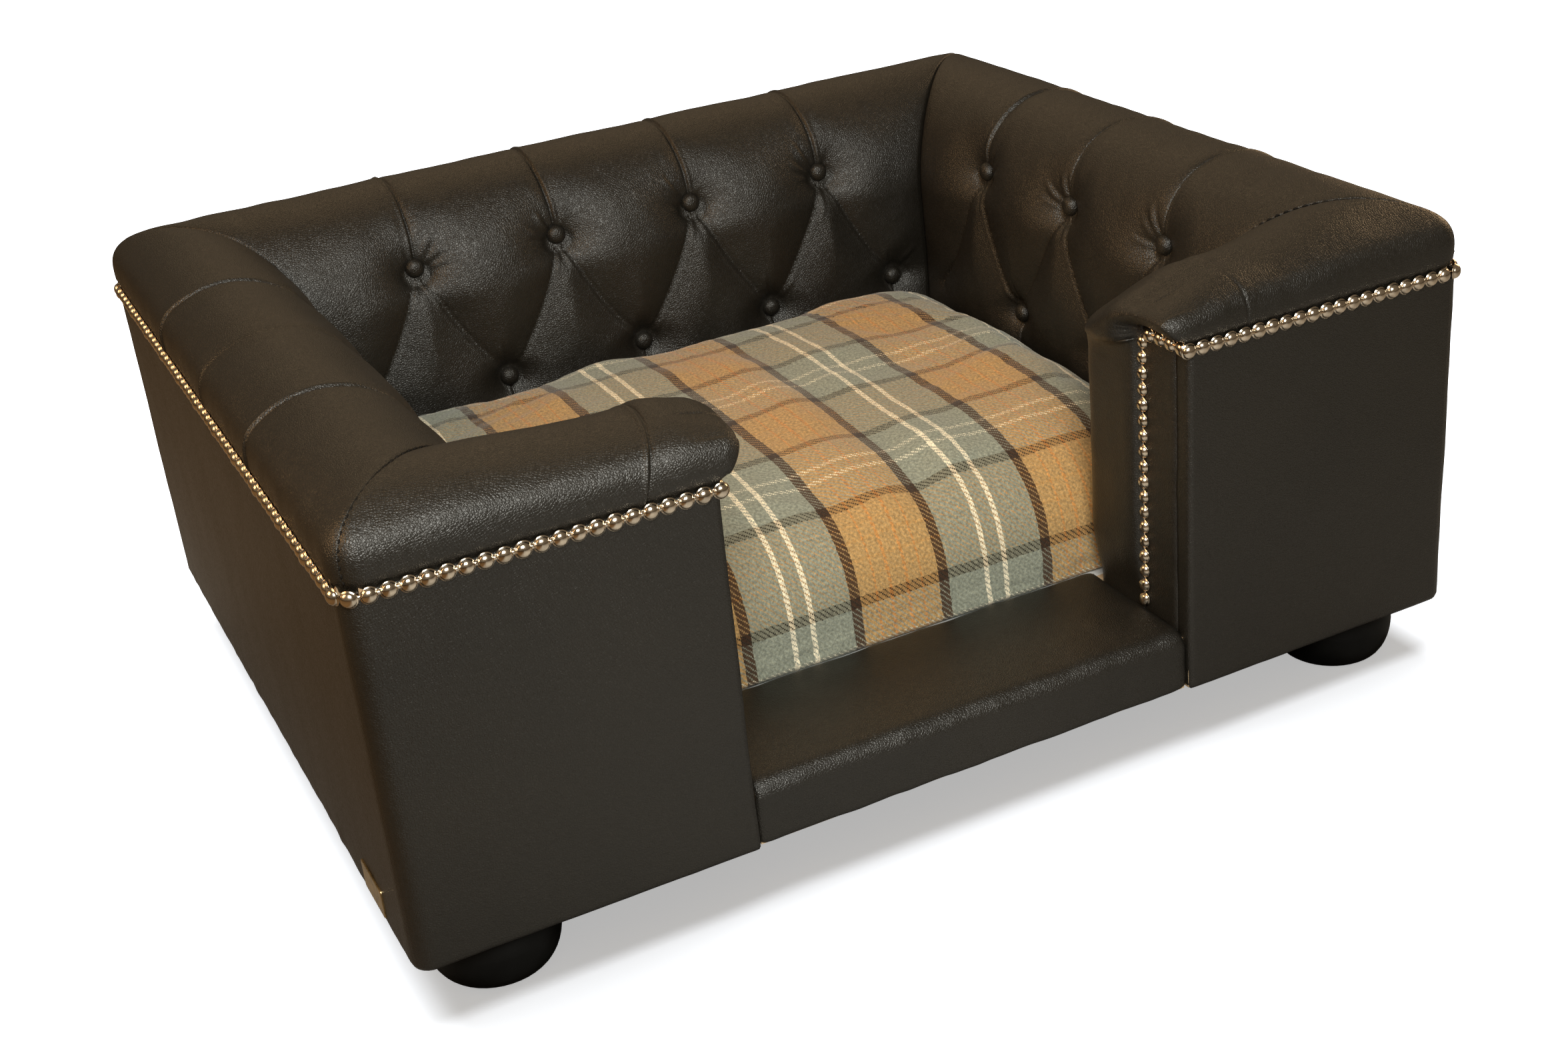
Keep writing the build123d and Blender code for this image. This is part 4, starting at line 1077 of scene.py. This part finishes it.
def plate():
    """A small blank brass plate, low on the left side near the front."""
    w, h, r, x, y, z = 48.0, 23.0, 2.5, -HW + PANEL_FACE - 0.1, -269.0, 66.0
    loop = []
    for k, (sy, sz) in enumerate(((1, 1), (-1, 1), (-1, -1), (1, -1))):
        loop += arc_points(sy * (w / 2 - r), sz * (h / 2 - r), r, 90 * k, 90 * k + 90, 6)
    n = len(loop)
    rings = [(1.0, 0.0), (1.0, -0.9), (0.965, -1.3)]
    verts = [(x + dx, y + dy * k, z + dz * k) for k, dx in rings for dy, dz in loop]
    faces = [(k * n + i, (k + 1) * n + i, (k + 1) * n + (i + 1) % n, k * n + (i + 1) % n)
             for k in range(2) for i in range(n)]
    faces += [tuple(range(n)), tuple(range(3 * n - 1, 2 * n - 1, -1))]
    obj = new_object("plate", np.array(verts) * MM, faces, smooth=False)
    finish_piece(obj, BRASS, "bed_frame")


plate()


# ---------------------------------------------------------------- CAD nodes that stay

def dress(mat, *names, ending=None):
    """Give nodes their material: the named ones, and all whose names have the ending."""
    for name in [*names, *(n for n in NODES if ending and n.endswith(ending))]:
        NODES[name].data.materials.clear()
        NODES[name].data.materials.append(mat)


dress(FEET, "bun_feet")
dress(PINE, "corner_blocks", "wall_posts", ending="_rail")
dress(PLY, ending="_board")
dress(STEEL, "foot_bolts", "tee_nuts", "zip_slider")
dress(CALICO, "deck_lining")
dress(DUST, "dust_cover")
dress(ZIPCLOTH, "zip_tape")


# ---------------------------------------------------------------- cushion

def cushion_outline(y0, y1, mid_y, base):
    """The closed outline in depth and height, with its corners cut three times: back, top, front, underneath."""
    up_back = [(-10, 0), (-4, 3), (0, 14), (-0.5, 80), (-2, 98), (-10, 110), (-32, 116), (-90, 120)]
    down_front = [(118, 116.5), (68, 110), (33, 97), (10, 75), (0.5, 46), (0, 20), (0, 8), (1.5, 1.5), (8, 0)]
    closed = [(y1 + dy, base + dz) for dy, dz in up_back] + [(mid_y, base + 119)]
    closed += [(y0 + dy, base + dz) for dy, dz in down_front]
    closed = np.array(closed + [(y0 + 120, base), (mid_y, base), (y1 - 120, base)], float)
    for _ in range(3):
        after = np.roll(closed, -1, 0)
        closed = np.stack([closed * 0.75 + after * 0.25, closed * 0.25 + after * 0.75], 1).reshape(-1, 2)
    closed[:, 1] = np.maximum(closed[:, 1], base)
    s, loop = resample(np.vstack([closed, closed[:1]]), 3.0)
    return s[:-1], loop[:-1]


def cushion_relief(x, y, z, base, half):
    """Lumps and ridges on top, a pinch and a hem at the front, and the lifted front corner. Changes y and z."""
    top = smoothstep(base + 60, base + 100, z)
    xy = np.stack([x, y], -1)
    lump = 3.0 * waves(31, xy, 230.0) + 1.2 * waves(32, xy, 90.0)
    ridge = 2.6 * gauss(x - 24, 20.0) - 3.4 * gauss(x - 56, 17.0) + 1.6 * gauss(x - 92, 22.0)
    ridge = ridge * smoothstep(210, 60, y)
    crown = 4.0 * (smoothstep(half - 4, half - 60, np.abs(x)) - 0.6)
    z += (lump + ridge + crown) * top
    # the back edge is scalloped by the buttons below it
    z += 2.2 * np.cos(2 * math.pi * x / REAR_PITCH + math.pi) * smoothstep(150, 205, y) * top
    front = smoothstep(-200.0, -222.0, y)
    y += 3.2 * gauss(np.hypot(x + 150, (z - base - 34) * 0.8), 16.0) * front
    y += 1.6 * gauss(z - base - 11.0, 2.2) * front
    y -= 0.8 * gauss(z - base - 7.0, 2.4) * front
    y += 0.9 * np.sin(x / 7.0 + 1.5 * np.sin(x / 23.0)) * gauss(z - base - 12.0, 9.0) * front
    # the front edge lifts a little beside the left wing
    rise = smoothstep(-140.0, -183.0, x) * smoothstep(-190.0, -215.0, y) * smoothstep(base + 60, base, z)
    z += 12.0 * rise
    y += 19.0 * rise


def cushion():
    """One tartan cover: its cloth runs over the back, top and front, and each end is closed by a side piece."""
    lo, hi = [np.array(c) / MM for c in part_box("cushion_cover")]
    mid_y = (lo[1] + hi[1]) / 2
    y0, y1, base = lo[1] - 1.6, hi[1] - 1.0, lo[2] + 0.15
    half = (hi[0] - lo[0]) / 2 - 1.0
    s, loop = cushion_outline(y0, y1, mid_y, base)
    m = len(loop)
    # each end rounds over towards a line at mid height
    axis_z, end_r = base + 50.0, 34.0
    core = np.column_stack([np.clip(loop[:, 0], y0 + 62, y1 - 55), np.full(m, axis_z)])
    reach = loop - core
    far = np.linalg.norm(reach, axis=1)
    way = reach / far[:, None]
    # position, inset and cloth coordinate of each ring of points
    side = [(half - end_r + end_r * math.sin(a), end_r - end_r * math.cos(a), (half - end_r) + end_r * a)
            for a in np.linspace(0, math.pi / 2, 14)]
    middle = np.linspace(-half + end_r, half - end_r, int((2 * half - 2 * end_r) / 3.4))[1:-1]
    rings = [(-x, inset, -cx) for x, inset, cx in side[::-1]] + [(x, 0.0, x) for x in middle] + side
    crest = int(np.argmax(loop[:, 1]))
    run = s - s[crest]
    forwards = loop[(crest + 5) % m, 0] < loop[crest, 0]
    cloth_y = loop[crest, 0] - run if forwards else loop[crest, 0] + run
    V, cloth = [], []
    for x, inset, cx in rings:
        p = loop - way * np.minimum(inset, far * 0.9)[:, None]
        p[:, 1] = np.maximum(p[:, 1], base)
        pull = 4.5 * np.clip(1 - (x / half) ** 2, 0, 1)          # sides draw in between the corners
        ydir = np.sign(p[:, 0] - mid_y)
        edge = smoothstep(half * 0.5, half * 0.72, np.abs(p[:, 0] - mid_y) * half / ((y1 - y0) / 2))
        p[:, 0] -= ydir * pull * edge * smoothstep(base + 5, base + 25, p[:, 1])
        V.append(np.column_stack([np.full(m, x), p]))
        cloth.append(np.column_stack([np.full(m, cx), cloth_y]))
    V = np.array(V)
    cushion_relief(V[..., 0], V[..., 1], V[..., 2], base, half)
    V[..., 2] = np.maximum(V[..., 2], base)
    points, faces = list(V), ring_faces(len(rings), m)
    # each side piece, in rings that close on its middle
    for end, first in ((-1, 0), (1, len(rings) - 1)):
        ring = V[first]
        centre = np.array([ring[:, 0].mean(), mid_y, axis_z])
        prev = first * m + np.arange(m)
        for share in (0.82, 0.6, 0.38, 0.18):
            p = centre + (ring - centre) * share
            p[:, 0] += end * 1.0 * (1 - share**2)
            p[:, 2] = np.maximum(p[:, 2], base)
            cur = len(points) * m + np.arange(m)
            points.append(p)
            cloth.append(np.column_stack([end * (half + 40 + (base + 80 - p[:, 2])), p[:, 1]]))
            quads = np.stack([prev, np.roll(prev, -1), np.roll(cur, -1), cur], 1)
            faces += list(quads[:, ::-1] if end > 0 else quads)
            prev = cur
        faces.append(prev if end > 0 else prev[::-1])
    obj = new_object("cushion", np.vstack(points) * MM, faces)
    layer = obj.data.uv_layers.new(name="cloth")
    loops = np.empty(len(obj.data.loops), int)
    obj.data.loops.foreach_get("vertex_index", loops)
    layer.data.foreach_set("uv", (np.vstack(cloth) * MM)[loops].ravel())
    settle(obj)
    finish_piece(obj, tartan_material(), "cushion", ("cushion_cover", "cushion_core"))


def settle(obj):
    """Blow the cover up a little as cloth, with each point held to a short way."""
    start = coords(obj)
    cloth = obj.modifiers.new("cloth", "CLOTH")
    cloth.settings.use_pressure = True
    cloth.settings.uniform_pressure_force = 2.5
    cloth.settings.effector_weights.gravity = 0.0
    cloth.settings.quality = 5
    cloth.settings.tension_stiffness = 12
    cloth.settings.shear_stiffness = 5
    cloth.settings.bending_stiffness = 0.3
    scene = bpy.context.scene
    for f in range(1, 13):
        scene.frame_set(f)
    move = coords(obj.evaluated_get(bpy.context.evaluated_depsgraph_get())) - start
    obj.modifiers.remove(cloth)
    scene.frame_set(1)
    longest = 0.005
    move *= np.minimum(1, longest / np.maximum(np.linalg.norm(move, axis=1, keepdims=True), 1e-9))
    out = start + move
    lo, hi = [np.array(c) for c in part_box("cushion_cover")]
    out[:, 2] = np.maximum(out[:, 2], lo[2] + 0.0001)
    out[:, 0] = np.clip(out[:, 0], lo[0] - 0.003, hi[0] + 0.003)
    out[:, 1] = np.clip(out[:, 1], lo[1] - 0.0026, hi[1] + 0.0005)
    obj.data.vertices.foreach_set("co", out.ravel())
    obj.data.update()


cushion()


# ---------------------------------------------------------------- floor, light, camera

def stage():
    """A pale floor that shows white from afar, keeps the bed's shadow and throws back little light."""
    size = 30.0
    corners = [(-size, -size, 0), (size, -size, 0), (size, size, 0), (-size, size, 0)]
    floor = new_object("floor", corners, [(0, 1, 2, 3)], smooth=False)
    mat = bpy.data.materials.new("floor")
    nt = empty_tree(mat)
    pos = node(nt, "TexCoord").outputs["Object"]
    seen = node(nt, "BsdfDiffuse", {"Color": (0.86, 0.9, 0.96)})
    across = node(nt, "SeparateXYZ", {"Vector": pos}).outputs[0]
    across = node(nt, "MapRange", {"Value": across, "From Min": -0.8, "From Max": 0.8}).outputs[0]
    bounce = ramp(nt, across, [(0.14, (0.12, 0.07, 0.03)), (0.3, (0.38, 0.365, 0.32)),
                               (0.55, (0.34, 0.32, 0.28)), (1.0, (0.2, 0.17, 0.13))])
    bounce = node(nt, "BsdfDiffuse", {"Color": bounce})
    to_camera = node(nt, "LightPath").outputs["Is Camera Ray"]
    paint = node(nt, "MixShader", {0: to_camera, 1: bounce.outputs[0], 2: seen.outputs[0]})
    away = node(nt, "VectorMath", {0: pos}, operation="LENGTH").outputs["Value"]
    fade = node(nt, "MapRange", {"Value": away, "From Min": 0.6, "From Max": 1.3}, interpolation_type="SMOOTHSTEP")
    glow = math_node(nt, "MULTIPLY", linear(nt, fade.outputs[0], 0.56, 0.44), to_camera)
    glow = node(nt, "Emission", {"Color": (1, 1, 1), "Strength": glow})
    both = node(nt, "AddShader", {0: paint.outputs[0], 1: glow.outputs[0]})
    node(nt, "OutputMaterial", {0: both.outputs[0]})
    floor.data.materials.append(mat)
    return floor


def studio():
    """White where the camera looks past the floor, and a dim warm room for the light."""
    world = bpy.data.worlds.new("studio")
    bpy.context.scene.world = world
    nt = empty_tree(world)
    soft = node(nt, "Background", {"Color": (1.0, 0.8, 0.56), "Strength": 0.15})
    white = node(nt, "Background", {"Color": (1, 1, 1), "Strength": 1.0})
    to_camera = node(nt, "LightPath").outputs["Is Camera Ray"]
    both = node(nt, "MixShader", {0: to_camera, 1: soft.outputs[0], 2: white.outputs[0]})
    node(nt, "OutputWorld", {0: both.outputs[0]})


def area_light(name, pos, target, size, power, colour=(1, 1, 1), floor="EXCLUDE"):
    """A soft light. The floor is lit by one neutral light alone, so that its shadow has no tint."""
    data = bpy.data.lights.new(name, "AREA")
    data.shape = "RECTANGLE"
    data.size, data.size_y = size
    data.energy = power
    data.color = colour
    obj = bpy.data.objects.new(name, data)
    bpy.context.scene.collection.objects.link(obj)
    obj.location = pos
    obj.rotation_euler = (Vector(target) - Vector(pos)).to_track_quat("-Z", "Y").to_euler()
    lit = bpy.data.collections.new(name + " receivers")
    lit.objects.link(FLOOR)
    lit.collection_objects[0].light_linking.link_state = floor
    obj.light_linking.receiver_collection = lit


def camera():
    cam = bpy.data.cameras.new("camera")
    cam.sensor_fit = "HORIZONTAL"
    cam.sensor_width = 36.0
    cam.lens = 47.19
    cam.clip_end = 100.0
    obj = bpy.data.objects.new("camera", cam)
    bpy.context.scene.collection.objects.link(obj)
    right = Vector((0.88822, -0.45036, -0.09080))
    down = Vector((-0.27359, -0.35974, -0.89204))
    ahead = Vector((0.36907, 0.81717, -0.44274))
    obj.matrix_world = Matrix((
        (right.x, -down.x, -ahead.x, -0.64113),
        (right.y, -down.y, -ahead.y, -1.46344),
        (right.z, -down.z, -ahead.z, 0.89256),
        (0, 0, 0, 1),
    ))
    bpy.context.scene.camera = obj


FLOOR = stage()
studio()
area_light("floor", (-0.05, 0.4, 2.3), (0.0, 0.0, 0), (2.9, 2.9), 150, (1, 1, 1), "INCLUDE")
area_light("front", (-0.5, -1.5, 1.4), (-0.15, -0.1, 0.25), (0.8, 0.7), 37, (1.0, 0.985, 0.9))
area_light("left", (-2.1, 0.1, 1.65), (0, 0, 0.25), (1.2, 1.2), 28, (1.0, 0.58, 0.26))
area_light("back", (0.5, 1.7, 1.9), (0, 0, 0.3), (2.2, 1.0), 8, (1.0, 0.7, 0.4))
area_light("right", (2.1, 0.4, 0.9), (0.3, 0, 0.25), (0.8, 0.8), 11, (1.0, 0.66, 0.36))
camera()
bpy.context.scene.view_settings.view_transform = "Standard"
